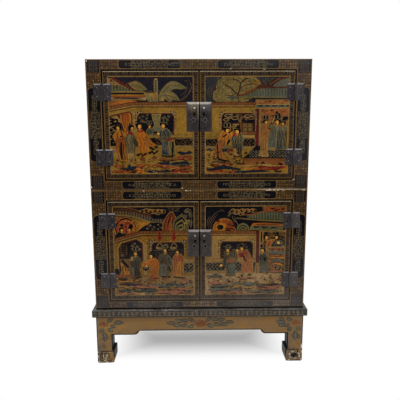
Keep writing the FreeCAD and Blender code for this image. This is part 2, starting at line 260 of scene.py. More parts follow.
# ---- The flowers and outlines on the stand ----
# Painted by hand on the ochre: a red peony in the middle, a smaller one over each leg, grey-green leaves
# between, and a dark line along every edge. The paint stands a hair proud, so every patch is a thin layer of
# its own.
PIGMENTS = {
    "ochre": (121, 90, 34), "gilt": (114, 86, 46), "pale": (150, 132, 100), "tan": (134, 102, 52),
    "sand": (119, 90, 50), "buff": (144, 115, 74), "chalk": (196, 186, 164), "flesh": (204, 148, 62),
    "orange": (152, 80, 22), "amber": (142, 91, 28), "rust": (118, 54, 24), "brick": (104, 61, 31),
    "crimson": (104, 24, 20), "plum": (86, 22, 28), "rose": (130, 79, 54), "petal": (124, 90, 60),
    "heart": (118, 76, 52), "dusty": (88, 86, 76), "maroon": (70, 34, 20), "faded": (74, 62, 52),
    "thread": (93, 80, 57), "copper": (126, 74, 38), "celadon": (84, 84, 62), "teal": (50, 58, 52),
    "slate": (76, 76, 64), "indigo": (20, 28, 38), "olive": (94, 80, 42), "leaf": (90, 86, 54),
    "moss": (80, 78, 52), "sage": (56, 56, 44), "grey": (76, 70, 58), "umber": (40, 28, 19),
    "dark": (16, 13, 12), "black": (5, 5, 8), "night": (10, 10, 16), "field": (23, 19, 18),
    "scroll": (104, 88, 60), "fret": (82, 63, 42), "net": (84, 60, 33), "mesh": (112, 82, 42),
    "honey": (106, 75, 26), "straw": (128, 98, 46), "bright": (168, 152, 122), "dusk": (40, 40, 42),
    "ink": (24, 23, 31),
}


def pairs(text):
    """Numbers read in pairs: across and up, in millimetres."""
    return np.array(text.split(), float).reshape(-1, 2) if isinstance(text, str) else np.asarray(text, float)


def through(points, steps=7):
    """Curve through points: on each span the cubic whose slope at a point is half the step between its
    neighbours."""
    p = pairs(points)
    if len(p) < 3:
        return np.linspace(p[0], p[-1], steps)
    q = np.vstack([2 * p[0] - p[1], p, 2 * p[-1] - p[-2]])
    a, b, c, d = q[:-3], q[1:-2], q[2:-1], q[3:]
    t = (np.arange(steps) / steps)[:, None, None]
    spans = 0.5 * (2 * b + (c - a) * t + (2 * a - 5 * b + 4 * c - d) * t**2 + (3 * b - a - 3 * c + d) * t**3)
    return np.vstack([spans.transpose(1, 0, 2).reshape(-1, 2), p[-1:]])


def evenly(line, count):
    """The same line with points at equal steps along its length."""
    run = np.append(0, np.cumsum(np.hypot(*np.diff(line, axis=0).T)))
    at = np.linspace(0, run[-1], count)
    return np.stack([np.interp(at, run, line[:, 0]), np.interp(at, run, line[:, 1])], 1)


def ribbon(lines, widths):
    """Two edges beside each line: half the width along the normal, and at a corner along the two normals' sum
    divided by one plus their product, so that the strip keeps its width."""
    step = np.diff(lines, axis=-2)
    step = step / np.maximum(np.linalg.norm(step, axis=-1, keepdims=True), 1e-9)
    normal = np.stack([-step[..., 1], step[..., 0]], -1)
    before = np.concatenate([normal[..., :1, :], normal], -2)
    after = np.concatenate([normal, normal[..., -1:, :]], -2)
    side = (before + after) / np.maximum(1 + (before * after).sum(-1, keepdims=True), 0.4)
    side = side * np.asarray(widths)[..., None] / 2
    return np.stack([lines - side, lines + side], -2)


class Painting:
    """Paint on one flat face. A patch is a grid of points (across, up) in millimetres, and lies one coat
    higher than every earlier patch whose box meets its own."""

    coat = 0.03

    def __init__(self, left, right, bottom, top):
        self.low, self.high = np.array([left, bottom], float), np.array([right, top], float)
        self.points, self.heights, self.faces, self.colours, self.boxes = [], [], [], [], []
        self.total = 0

    def lay(self, grids, paint):
        """Patches (patches, rows, columns, 2) of one paint; a paint written "one>other" turns into the other
        evenly along the rows."""
        grids = np.asarray(grids, float)
        grids = np.clip(grids if grids.ndim == 4 else grids[None], self.low, self.high)
        count, rows, columns = grids.shape[:3]
        flat = grids.reshape(-1, 2)
        low, high = flat.min(0), flat.max(0)
        level = 1 + max([coats for l, h, coats in self.boxes if (l < high).all() and (h > low).all()] or [0])
        self.boxes.append((low, high, level))
        index = np.arange(rows * columns).reshape(rows, columns)
        quads = np.stack([index[:-1, :-1], index[:-1, 1:], index[1:, 1:], index[1:, :-1]], -1).reshape(-1, 4)
        quads = (quads[None] + (np.arange(count) * rows * columns)[:, None, None]).reshape(-1, 4)
        one, other = flat[quads[:, 2]] - flat[quads[:, 0]], flat[quads[:, 3]] - flat[quads[:, 1]]
        size = one[:, 0] * other[:, 1] - one[:, 1] * other[:, 0]
        quads[size < 0] = quads[size < 0][:, ::-1]
        quads = quads[np.abs(size) > 0.002]
        shades = [np.array(tone(*PIGMENTS[name])) for name in paint.split(">")]
        share = np.linspace(0, 1, rows)[None, :, None, None]
        colour = np.broadcast_to(shades[0] * (1 - share) + shades[-1] * share, (count, rows, columns, 4))
        self.points.append(flat)
        self.heights.append(np.full(len(flat), level * self.coat))
        self.faces.append(quads + self.total)
        self.colours.append(colour.reshape(-1, 4))
        self.total += len(flat)

    def area(self, paint, one, other, rim=None, folds=0, fold="umber", sharp=False):
        """All between two edges that run the same way. Folds are short lines at nearly equal shares between
        them, swayed by a sine and begun at random rows."""
        one, other = ((pairs(edge) if sharp else evenly(through(edge), 22)) for edge in (one, other))
        share = np.linspace(0, 1, 4)[None, :, None]
        self.lay(one[:, None] * (1 - share) + other[:, None] * share, paint)
        if folds:
            draw = np.random.default_rng(len(self.boxes))
            first = draw.integers(1, 7, (folds, 1))
            rows = first + np.arange(15)
            share = ((np.arange(folds) + 0.7) / (folds + 0.4))[:, None] + 0.035 * np.sin(rows / 2.3 + first)
            lines = one[rows] * (1 - share[..., None]) + other[rows] * share[..., None]
            self.lay(ribbon(lines, draw.uniform(1.6, 2.7, (folds, 1)) * np.ones(15)), fold)
            self.lay(ribbon(lines + [1.9, 0.4], 1.0), rim or paint.split(">")[-1])
        if rim:
            self.lay(ribbon(np.vstack([one, other[::-1], one[:1]]), 1.7), rim)

    def slab(self, paint, x0, x1, z0, z1, rim=None):
        """Upright rectangle, which turns from one paint into the other upwards."""
        self.area(paint, [(x0, z0), (x0, z1)], [(x1, z0), (x1, z1)], rim, sharp=True)

    def stroke(self, paint, path, width, tip=0.3, sharp=False):
        """Brush line that swells from tip times its width at the ends to its width half way."""
        line = pairs(path) if sharp else through(path)
        swell = 1.0 if sharp else tip + (1 - tip) * np.sin(np.pi * np.linspace(0, 1, len(line))) ** 0.7
        self.lay(ribbon(line, width * swell * np.ones(len(line))), paint)

    def blob(self, paint, x, z, rx, rz, lobes=0, depth=0.0, tilt=0.0, rim=None):
        """Disc made from a square grid pressed round; its radius swells and dips once in every lobe."""
        cells = max(5, math.ceil(lobes * 1.5))
        u, v = np.meshgrid(*[np.linspace(-1, 1, cells + 1)] * 2, indexing="ij")
        disc = np.stack([u * np.sqrt(1 - v * v / 2), v * np.sqrt(1 - u * u / 2)], -1)
        round_path = np.linspace(0, 2 * np.pi, 61)
        edge = np.stack([np.cos(round_path), np.sin(round_path)], -1)

        def shaped(unit):
            """Points of a unit disc, swollen in its lobes, stretched, tilted and moved into place."""
            around = np.arctan2(unit[..., 1], unit[..., 0])
            swell = 1 - depth + depth * np.abs(np.sin(lobes * around / 2)) if lobes else 1.0
            unit = unit * np.array([rx, rz]) * np.atleast_1d(swell)[..., None]
            c, s = math.cos(tilt), math.sin(tilt)
            return unit @ np.array([[c, s], [-s, c]]) + [x, z]

        self.lay(shaped(disc), paint)
        if rim:
            self.lay(ribbon(shaped(edge), 1.4), rim)

    def leaf(self, paint, x, z, length, width, angle, vein=None, rim=None):
        """Spindle from a stalk end: half the width times the sine along it, bent a little to one side."""
        t = np.linspace(0, 1, 13)[:, None]
        c, s = math.cos(math.radians(angle)), math.sin(math.radians(angle))
        along = np.hstack([t * length, 0.12 * width * np.sin(np.pi * t)])
        along = along @ np.array([[c, s], [-s, c]]) + [x, z]
        across = np.array([-s, c]) * width / 2 * np.sin(np.pi * t**0.85) ** 0.8
        self.lay(np.stack([along - across, along, along + across], 1), paint)
        if rim:
            self.lay(ribbon(np.vstack([along - across, (along + across)[::-1]]), 1.5), rim)
        if vein:
            self.lay(ribbon(along[1:-1], 0.9), vein)

    def wave(self, paint, x0, x1, z, thick, bend=1.5):
        """Band of ground or water: its middle and its half thickness each follow a few sines, its ends are
        thin; a fine line runs below."""
        t = np.linspace(0, 1, 33)
        middle = z + bend * np.sin(2.6 * np.pi * t + x0)
        half = thick / 2 * np.sin(np.pi * t) ** 0.5 * (1 + 0.35 * np.sin(11 * t + 0.7 * x1))
        x = x0 + (x1 - x0) * t
        self.lay(np.stack([np.stack([x, middle - half], -1), np.stack([x, middle + half], -1)], 1), paint)
        under = np.stack([x, middle - half - 0.4], -1)[3:-3]
        self.lay(ribbon(under, 1.8 * np.sin(np.pi * np.linspace(0.05, 0.95, len(under))) ** 0.5), "dark")

    def flecks(self, paint, x0, x1, z0, z1, count, size, seed=1):
        """Short brush marks, three times as long as high, at random places."""
        draw = np.random.default_rng(seed)
        centres = draw.uniform([x0, z0], [x1, z1], (count, 2))[:, None, None]
        scale = size * draw.uniform(0.5, 1.3, (count, 1, 1, 1)) * [1, 0.44]
        mark = np.array([[[-1, 0.2], [-0.2, -1]], [[0.3, 1], [1, -0.3]]])
        self.lay(centres + mark * scale, paint)

    def ribs(self, paint, one, other, count, width, sharp=False):
        """Straight bars from one edge to another, at equal steps."""
        one, other = (evenly(pairs(edge) if sharp else through(edge), count) for edge in (one, other))
        self.lay(ribbon(np.stack([one, other], 1), width), paint)

    def lattice(self, paint, x0, x1, z0, z1, pitch, width):
        """Two sets of slanting bars, cut off by the rectangle: on each, across plus or minus up is
        constant."""
        for way in (1, -1):
            low, high = (z0, z1) if way > 0 else (-z1, -z0)
            sums = np.arange(x0 + low + pitch / 2, x1 + high, pitch)
            start, end = np.maximum(x0, sums - high), np.minimum(x1, sums - low)
            sums, start, end = (a[end - start > 0.6] for a in (sums, start, end))
            bars = np.stack([np.stack([start, way * (sums - start)], -1),
                             np.stack([end, way * (sums - end)], -1)], 1)
            self.lay(ribbon(bars, width), paint)

    def dots(self, paint, x0, x1, z0, z1, pitch, radius, rough=0.0):
        """Small lozenges on the crossings of a square net; rough is the share by which their sizes differ."""
        columns, rows = max(1, round((x1 - x0) / pitch)), max(1, round((z1 - z0) / pitch))
        u = x0 + (x1 - x0) * (np.arange(columns) + 0.5) / columns
        v = z0 + (z1 - z0) * (np.arange(rows) + 0.5) / rows
        centres = np.stack(np.meshgrid(u, v), -1).reshape(-1, 1, 1, 2)
        draw = np.random.default_rng(columns)
        radii = radius * draw.uniform(1 - rough, 1 + rough, (columns * rows, 1, 1, 1))
        self.lay(centres + np.array([[[-1, 0], [0, -1]], [[0, 1], [1, 0]]]) * radii, paint)

    def fret(self, paint, x0, x1, z0, z1, width):
        """Key fret: a square hook in every cell, each a mirror image of the one before."""
        hook = np.array([(0, 0.1), (0.86, 0.1), (0.86, 0.9), (0.3, 0.9), (0.3, 0.44), (0.56, 0.44)])
        upright = z1 - z0 > x1 - x0
        length, tall = (z1 - z0, x1 - x0) if upright else (x1 - x0, z1 - z0)
        count = 2 * max(1, round(length / tall / 2.3))
        cell = length / count
        units = np.repeat(hook[None], count, 0)
        units[1::2, :, 0] = 1 - units[1::2, :, 0]
        units = units * [cell, tall] + np.stack([np.arange(count) * cell, np.zeros(count)], -1)[:, None]
        units = units[..., ::-1] if upright else units
        self.lay(ribbon(units + [x0, z0], width), paint)

    def hang(self, name, body, place, slot="painted_lacquer"):
        """The painting as one mesh; place turns across, up and height (metres) into a point."""
        quads, at = np.unique(np.vstack(self.faces), return_inverse=True)
        flat, height = np.vstack(self.points)[quads] / 1000, np.concatenate(self.heights)[quads] / 1000
        mesh = bpy.data.meshes.new(name)
        mesh.from_pydata(place(flat[:, 0], flat[:, 1], height), [], at.reshape(-1, 4))
        paint = mesh.color_attributes.new("paint", "FLOAT_COLOR", "POINT")
        paint.data.foreach_set("color", np.vstack(self.colours)[quads].astype(np.float32).ravel())
        mesh.materials.append(painted.material)
        piece = bpy.data.objects.new(name, mesh)
        scene.collection.objects.link(piece)
        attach(piece, body)


def bloom_and_sheen(finish, colour):
    """Grey veil, strongest low down, some along the very top and up the right edge: low down partly the
    lacquer's bloom and partly painted light thrown up from the floor, along the top and the right edge a
    painted sheen.
    """
    across, _, height = finish.axes()
    low = finish.times(finish.ramp(height, 0.2, 0.43, 0.056, 0.0),
                       finish.ramp(across, -0.15, 0.25, 0.85, 1.35))
    foot = finish.ramp(height, 0.19, 0.25, 0.055, 0.0)
    # painted sheen along the very top and up the right edge
    top = finish.times(finish.ramp(height, 0.905, 0.94, 0.0, 0.032), finish.ramp(across, -0.1, 0.3, 0.6, 1.9))
    edge = finish.times(finish.ramp(across, 0.26, 0.31, 0.0, 0.035), finish.ramp(height, 0.56, 0.62))
    top = finish.math("MAXIMUM", top, edge)
    share = finish.math("ADD", finish.math("ADD", low, foot), top)
    share = finish.times(share, finish.ramp(height, 0.1875, 0.1885))
    cloudy = finish.times(share, finish.uneven(0.6, 1.4, 14.0))
    return finish.mix(cloudy, colour, tone(168, 166, 166))


def on_front(depth):
    """Place on a plane that faces forwards: across along X, up along Z, height out of the plane."""
    return lambda u, v, h: np.stack([u, -depth - h, v], -1)


def on_side(reach, hand):
    """Place on a plane that faces sideways: across to the right as seen from outside, height out of the
    plane."""
    return lambda u, v, h: np.stack([hand * (reach + h), hand * u, v], -1)


painted = Finish("painted_ornament", {"Specular IOR Level": 0.022})
pigment = painted.add("Attribute", {}, attribute_name="paint").outputs[0]
cracks = crackle(painted, 85.0, 0.035, 0.00012)
shade = painted.times(painted.uneven(0.76, 1.12, 15.0, 0.3, 0.7),
                      painted.uneven(0.72, 1.22, 165.0, 0.3, 0.7, 6.0),
                      painted.ramp(cracks, 0.0, 1.0, 1.0, 0.55))
aged = painted.mix(1.0, pigment, shade, "MULTIPLY")
rubbed = painted.noise(210.0, 0.6, 0.68, 6.0)
aged = painted.mix(painted.times(rubbed, 0.12), aged, tone(96, 76, 46))
painted.feed("Base Color", bloom_and_sheen(painted, aged))
painted.feed("Roughness", painted.uneven(0.36, 0.6, 40.0))

foot_top, apron_low, apron_middle = 43.0, 97.0, 110.5


def peony(art, x, z, size):
    """Red flower seen from the side: three rings of petals, the lower ones wider, with a few darker petals on
    them."""
    for share, drop, lobes, paint in (
            (1.0, 0.06, 5, "petal"), (0.74, -0.02, 6, "heart"), (0.5, -0.12, 5, "petal")):
        art.blob(paint, x, z - drop * size, size * share, size * 0.54 * share, lobes, 0.2)
    for turn_by in (20, 57, 97, 137, 166):
        art.leaf("heart", x, z - 0.1 * size, 0.75 * size, 0.14 * size, turn_by)


def foot_marks(art, half, hand):
    """Lines and knocks on one foot: a square hook on the left one, a rubbed-out patch ringed with chalk on
    the right one."""
    inner, middle = half - 48, half - 25
    art.stroke("dark", [(hand * (half - 3), 2.0), (hand * (half - 42), 2.0)], 2.4, sharp=True)
    art.stroke("dark", [(hand * (inner - 3), foot_top - 2), (hand * (half - 14), foot_top - 2),
                        (hand * (half - 14), 14)], 2.8, sharp=True)
    if hand > 0:
        art.blob("dark", middle, 21, 13, 8.5, 6, 0.25)
        art.flecks("dusty", middle - 11, middle + 11, 14, 28, 12, 3.4, 4)
        knocks = [(middle - 15, 24, 2.4, 5.0), (middle - 13, 14, 3.6, 1.8), (middle + 13, 27, 3.0, 2.0),
                  (middle + 17, 17, 1.8, 5.0), (middle + 4, 9, 5.0, 1.6), (middle - 6, 33, 5.0, 1.5),
                  (half - 2.5, 52, 3.0, 9.0), (half - 2.2, 33, 1.6, 5.0), (half - 4, 6, 2.4, 3.0),
                  (inner + 6, 5, 3.0, 1.8)]
    else:
        hook = np.array([(inner + 5, 9), (half - 9, 9), (half - 9, 32), (inner + 11, 32), (inner + 11, 17),
                         (half - 24, 17), (half - 24, 25)]) * [hand, 1]
        art.stroke("umber", hook, 2.2, sharp=True)
        knocks = [(half - 30, 26, 1.6, 7.0), (inner + 30, 25, 1.5, 6.5), (half - 26, 16, 2.2, 6.0),
                  (half - 24, 8, 5.0, 1.8), (half - 30, 3, 4.0, 2.2), (half - 2.4, 22, 1.6, 5.0),
                  (half - 5, 5, 3.0, 2.4), (half - 2, 38, 1.3, 3.0)]
    for x, z, rx, rz in knocks:
        art.blob("chalk", hand * x, z, rx, rz, 7, 0.3)


def apron_paint(half, drop, arch, sprig):
    """Dark edge lines and flowers for one face of the stand, which reaches half each way to its legs'
    outsides."""
    art = Painting(-half, half, 0, 160)
    inner = half - 48
    for hand in (-1, 1):
        edge = [(hand * (inner - 0.4), foot_top + 1), (hand * (inner - 0.4), apron_low + 1.6),
                (hand * drop, apron_low + 1.6), (hand * (drop - 5), apron_low + 2.6),
                (hand * (arch + 4), apron_middle - 1.5), (hand * arch, apron_middle + 1.5),
                (0, apron_middle + 1.5)]
        art.stroke("dark", edge, 3.0, sharp=True)
        art.stroke("dark", [(hand * (half - 1.3), 3), (hand * (half - 1.3), 158)], 2.6, sharp=True)
        # painted shade: a dark tapering patch on the front of each foot's inward swelling, for its shaded
        # inner side
        art.area("dark", [(hand * (half - 54.8), foot_top - 0.4), (hand * (half - 54.6), 15)],
                 [(hand * (half - 50.0), foot_top - 0.4), (hand * (half - 53.6), 15)], sharp=True)
        foot_marks(art, half, hand)
        leaves = [(half - 36, 117, 18, 12, -150), (half - 22, 118, 18, 12, -40),
                  (half - 25, 105, 31, 15, -91), (half - 36, 141, 20, 12, 150), (half - 44, 129, 19, 11, 205),
                  (half - 56, 137, 31, 14, 178)]
        if hand > 0:
            leaves += [(half - 62, 144, 18, 11, 158), (half - 60, 129, 20, 12, 196),
                       (half - 12, 92, 16, 9, -100)]
        for x, z, length, width, angle in leaves:
            art.leaf("dusty", hand * x, z, length, width, angle if hand > 0 else 180 - angle, "buff", "teal")
        peony(art, hand * (half - 23), 134, 18)
    for hand in (-1, 1):
        art.stroke("teal", pairs("18 134 40 136 66 137 92 136") * [hand, 1], 1.4)
        for x, z, length, width, angle in sprig:
            art.leaf("dusty", hand * x + 1, z, length, width, angle if hand > 0 else 180 - angle, "buff",
                     "teal")
    peony(art, 1, 134, 24)
    return art


hands = {"left": -1, "right": 1}
stand_front, stand_side = 0.1915, 0.3315
front_sprig = [(18, 141, 24, 11, 30), (20, 130, 24, 11, -26), (38, 143, 24, 11, 14), (41, 130, 24, 11, -10),
               (57, 141, 24, 11, 18), (62, 131, 26, 11, -10), (80, 138, 28, 11, -4)]
side_sprig = front_sprig[:2] + [(40, 138, 20, 9, 2)]
art = apron_paint(331.5, 211.5, 194.5, front_sprig)
art.hang("stand_flowers_front", "stand", on_front(stand_front), "ochre_lacquer")
for name, hand in hands.items():
    art = apron_paint(191.5, 98.5, 81.5, side_sprig)
    art.hang("stand_flowers_" + name, "stand", on_side(stand_side, hand), "ochre_lacquer")

# ---- The stand's top board and battens ----
# One thick board with rounded edges in black lacquer, and two battens in red-brown lacquer under it. A key
# fret in faded gold runs round its edge, and its corners and upper edge are knocked down to the chalk.
board = Finish("board_lacquer", {"Specular IOR Level": 0.2})
x, y, z = board.axes()
worn_black_with_painted_light = board.mix(board.noise(22.0), tone(26, 23, 22), tone(44, 37, 32))
fret_cell, fret_low, fret_tall = 0.0073, 0.1645, 0.0145
fret_bars = ((0.0, 1.0, 0.0, 0.1), (0.86, 1.0, 0.0, 0.9), (0.24, 1.0, 0.84, 0.94), (0.24, 0.36, 0.36, 0.94),
             (0.24, 0.68, 0.36, 0.46), (0.57, 0.68, 0.36, 0.66))
u = board.math("DIVIDE", board.math("PINGPONG", board.math("ADD", x, y), fret_cell), fret_cell)
v = board.math("DIVIDE", board.math("SUBTRACT", z, fret_low), fret_tall)
lines = 0.0
for u0, u1, v0, v1 in fret_bars:
    near_u = board.math("COMPARE", u, (u0 + u1) / 2, (u1 - u0) / 2)
    near_v = board.math("COMPARE", v, (v0 + v1) / 2, (v1 - v0) / 2)
    lines = board.math("MAXIMUM", board.times(near_u, near_v), lines)
gilt = board.times(lines, board.noise(90.0, 0.2, 0.55, 5.0))
worn_black_with_painted_light = board.mix(gilt, worn_black_with_painted_light, tone(120, 107, 87))
ledge = board.ramp(z, 0.1808, 0.1832)
side_face, front_face = 0.330, 0.190


def past_case(finish, inset=0.0):
    """How far a point stands out sideways and forwards of the cases' faces moved in by inset."""
    x, y, _ = finish.axes()
    return [finish.math("SUBTRACT", finish.math("ABSOLUTE", along), face - inset)
            for along, face in ((x, side_face), (y, front_face))]


outside = board.ramp(board.math("MAXIMUM", *past_case(board)), 0.0005, 0.002)
# pale on the board's top outside the case: partly dust, partly a painted highlight on the lit top
dusty = board.times(ledge, outside, board.noise(30.0, 0.25, 0.6), 0.55)
worn_black_with_painted_light = board.mix(dusty, worn_black_with_painted_light, tone(130, 124, 114))
# painted shade: the board's top under the case is coloured near black and made matt
under_case_shade = board.times(ledge, board.math("SUBTRACT", 1.0, outside))
worn_black_with_painted_light = board.mix(under_case_shade, worn_black_with_painted_light, tone(6, 5, 5))
edges = board.math("MAXIMUM", board.ramp(z, 0.180, 0.1825), board.ramp(z, 0.161, 0.164, 1.0, 0.0))
edges = board.math("SUBTRACT", edges, board.times(under_case_shade, 3.0))
worn_black_with_painted_light = board.mix(worn(board, 0.735, 0.76, edges), worn_black_with_painted_light, chalk)
board.feed("Base Color", worn_black_with_painted_light)
board.feed("Roughness", board.math("MAXIMUM", under_case_shade, board.uneven(0.34, 0.55, 40.0)))
crackle(board, 60.0, 0.03, 0.0002)
dress(board, "stand_top_board")

inside = Finish("inside_lacquer", {"Specular IOR Level": 0.25})
wood = inside.noise(34.0, 0.3, 0.7, 6.0, inside.stretched(0.12, 1.0, 1.0))
red_brown = inside.mix(wood, tone(58, 24, 18), tone(84, 36, 24))
red_brown = inside.mix(inside.times(inside.noise(8.0), 0.5), red_brown, tone(46, 26, 20))
inside.feed("Base Color", red_brown)
inside.feed("Roughness", inside.ramp(wood, 0.0, 1.0, 0.5, 0.68))
crackle(inside, 40.0, 0.02, 0.0002)
dress(inside, "stand_battens")

# ---- The cases' boards, and the strips under the lower case ----
# Boards in thin black lacquer over cloth: the weave and the joints below show as fine unevenness, rubbed
# brown on the corners. The top board has a double gilt line near its edge; shelves and bottoms are red-brown
# inside.
black = Finish("black_lacquer", {"Specular IOR Level": 0.35})
cloudy_black = black.mix(black.noise(7.0), tone(20, 18, 19), tone(33, 28, 27))
brown_cloud = black.times(black.noise(48.0, 0.5, 0.75, 6.0), 0.4)
cloudy_black = black.mix(brown_cloud, cloudy_black, tone(62, 50, 40))
to_edge = black.math("MAXIMUM", *past_case(black))
near_top = black.ramp(black.axes()[2], 0.9485, 0.9495)
for inset, half_line in ((0.012, 0.0011), (0.017, 0.0005)):
    line = black.times(black.math("COMPARE", to_edge, -inset, half_line), near_top,
                       black.noise(60.0, 0.3, 0.5))
    cloudy_black = black.mix(line, cloudy_black, tone(128, 100, 54))
near_corner = black.ramp(black.math("MINIMUM", *past_case(black, 0.006)), -0.002, 0.0)
rub = black.times(black.ramp(to_edge, -0.0035, -0.0005), near_corner, black.noise(50.0, 0.4, 0.6))
cloudy_black = black.mix(rub, cloudy_black, tone(96, 72, 44))
black.feed("Base Color", bloom_and_sheen(black, cloudy_black))
black.feed("Roughness", black.uneven(0.28, 0.5, 18.0))
crackle(black, 34.0, 0.012, 0.0003)
cases = ("lower", "upper")
for case in cases:
    dress(black, case + "_left_side", case + "_right_side", case + "_back_panel", case + "_top_board")
    dress(inside, case + "_bottom_board", case + "_shelf", case + "_door_stops")
dress(black, "stand_seat_strips")


def side_paint(bottom, top, hand):
    """Gilt lines and a key fret round one side of a case, and a flowering branch with rocks at its foot."""
    art = Painting(-186, 186, bottom, top)
    u0, u1, v0, v1 = -178, 178, bottom + 12, top - 12
    for inset, width, paint in ((0, 2.2, "tan"), (16, 1.6, "scroll")):
        ring = [(u0 + inset, v0 + inset), (u1 - inset, v0 + inset), (u1 - inset, v1 - inset),
                (u0 + inset, v1 - inset), (u0 + inset, v0 + inset - width / 2)]
        art.stroke(paint, ring, width, sharp=True)
    for x0, x1, z0, z1 in (
            (u0 + 16, u1 - 16, v0 + 2.5, v0 + 13.5), (u0 + 16, u1 - 16, v1 - 13.5, v1 - 2.5),
            (u0 + 2.5, u0 + 13.5, v0 + 16, v1 - 16), (u1 - 13.5, u1 - 2.5, v0 + 16, v1 - 16)):
        art.fret("fret", x0, x1, z0, z1, 1.4)
    w, foot = -hand, v0 + 30
    art.blob("umber", w * 74, foot + 12, 38, 22, 7, 0.2, rim="scroll")
    art.blob("sage", w * 44, foot + 6, 24, 14, 6, 0.2, rim="scroll")
    stem = pairs("84 20 70 70 34 112 10 160 -34 196 -86 214") * [w, 1] + [0, foot]
    art.stroke("brick", stem, 7.0, 0.4)
    art.stroke("tan", stem + [w * 1.2, 0.8], 1.2, 0.5)
    for twig in (
            "34 112 -30 118 -82 100", "52 92 96 150 118 196", "10 160 34 206 66 232",
            "-34 196 -50 160 -92 150"):
        twig = pairs(twig) * [w, 1] + [0, foot]
        art.stroke("brick", twig, 3.2, 0.4)
        for share in (0.3, 0.55, 0.8, 1.0):
            point = evenly(through(twig), 21)[int(20 * share)]
            art.leaf("sage", *point, 24, 8, 40 + 320 * share, "scroll")
            art.leaf("leaf", *point, 20, 7, 200 + 260 * share, "scroll")
            if share in (0.55, 1.0):
                peony(art, *point, 13)
    return art


for case, bottom, top in (("lower", 188, 566), ("upper", 566, 950)):
    for name, hand in hands.items():
        art = side_paint(bottom, top, hand)
        art.hang(f"{case}_{name}_side_branch", case + "_case", on_side(side_face, hand), "black_lacquer")

# ---- The front frames' ground, and the ornament on stiles and rails ----
# Stiles and rails have a brown ground with a gold net on it. Long dark fields with round ends, full of small
# hooks, lie two to a rail and one to a stile; a dark block marks each corner, and a gilt line follows the
# opening.
ground = Finish("brown_ground", {"Specular IOR Level": 0.05})
_, y, _ = ground.axes()
brown = ground.mix(ground.noise(28.0), tone(27, 18, 12), tone(44, 29, 18))
brown = ground.mix(ground.times(ground.noise(150.0, 0.45, 0.7, 6.0), 0.25), brown, tone(92, 70, 40))
brown = ground.mix(ground.ramp(y, -0.1892, -0.188), brown, tone(22, 19, 19))
ground.feed("Base Color", bloom_and_sheen(ground, brown))
ground.feed("Roughness", ground.uneven(0.36, 0.58, 40.0))
crackle(ground, 85.0, 0.035, 0.00012)
for case in cases:
    dress(ground, *[case + part for part in ("_top_rail", "_bottom_rail", "_left_stile", "_right_stile",
                                             "_left_door_panel", "_right_door_panel")])


def cartouche(art, x0, x1, z0, z1, dense):
    """Navy field with round ends: half its height times the root of one less the squared way into the end. In
    its middle share a brown block full of small hooks, three sides of a square turned at random; fewer run
    out to the ends."""
    upright = z1 - z0 > x1 - x0
    middle = np.array([(x0 + x1) / 2, (z0 + z1) / 2])
    long_half, half = ((z1 - z0) / 2, (x1 - x0) / 2) if upright else ((x1 - x0) / 2, (z1 - z0) / 2)

    def put(grid):
        """Points along and across the field, moved to the frame."""
        return (grid[..., ::-1] if upright else grid) + middle

    def field(reach, tall, corner, paint):
        """Field whose corners are quarter rounds: close steps at its ends, wide ones in its middle."""
        along = reach * np.sin(np.linspace(-0.5, 0.5, 41) * np.pi)
        into = np.clip((np.abs(along) - (reach - corner)) / corner, 0, 1)
        height = tall - corner + corner * np.sqrt(1 - into**2)
        art.lay(put(np.stack([np.stack([along, -height], -1), np.stack([along, height], -1)], 1)), paint)

    def block(start, end, tall):
        """Hooks at about one pitch: each runs over the four corners of a square, from a random one."""
        columns, rows = (max(1, round(length / hook_pitch)) for length in (end - start, 2 * tall))
        u = start + (end - start) * (np.arange(columns) + 0.5) / columns
        v = tall * ((2 * np.arange(rows) + 1) / rows - 1)
        centres = np.stack(np.meshgrid(u, v), -1).reshape(-1, 1, 2)
        centres = centres + draw.uniform(-1, 1, centres.shape)
        corners = np.pi * (draw.integers(0, 4, (len(centres), 1)) / 2 + np.array([0.25, 0.75, 1.25, 1.75]))
        hooks = np.stack([np.cos(corners), np.sin(corners)], -1)
        hooks = hooks * draw.uniform(3.4, 4.7, (len(centres), 1, 1))
        art.lay(put(ribbon(centres + hooks, 1.3)), "thread")

    draw, hook_pitch = np.random.default_rng(len(art.boxes)), 7.8
    reach, tip = long_half * dense, long_half * 0.8
    field(long_half + 1.4, half + 1.2, half * 0.62, "mesh")
    field(long_half, half, half * 0.62, "night")
    field(reach, half * 0.94, half * 0.2, "field")
    block(-reach, reach, half * 0.86)
    for start, end in ((-tip, -reach), (reach, tip)):
        block(start, end, half * 0.42)


def corner_block(art, x0, x1, z0, z1):
    """Dark square field with a key fret in three rows."""
    art.slab("dark", x0, x1, z0, z1, rim="net")
    third = (z1 - z0 - 9) / 3
    for row in range(3):
        low = z0 + 3 + row * (third + 1.5)
        art.fret("faded", x0 + 3, x1 - 3, low, low + third, 1.45)


def diaper(art, x0, x1, z0, z1, radius=2.4, paint="mesh"):
    """Net of slanting lines with a gold lozenge in every mesh."""
    pitch = 7.6
    art.lattice("net", x0, x1, z0, z1, pitch, 0.78)
    art.dots(paint, x0, x1, z0, z1, pitch, 0.8 * radius, 0.85)


middle_half, field_end, rail_end = 52, 234, 286
opening_half, stile_inner, stile_outer = 284, 289, 327


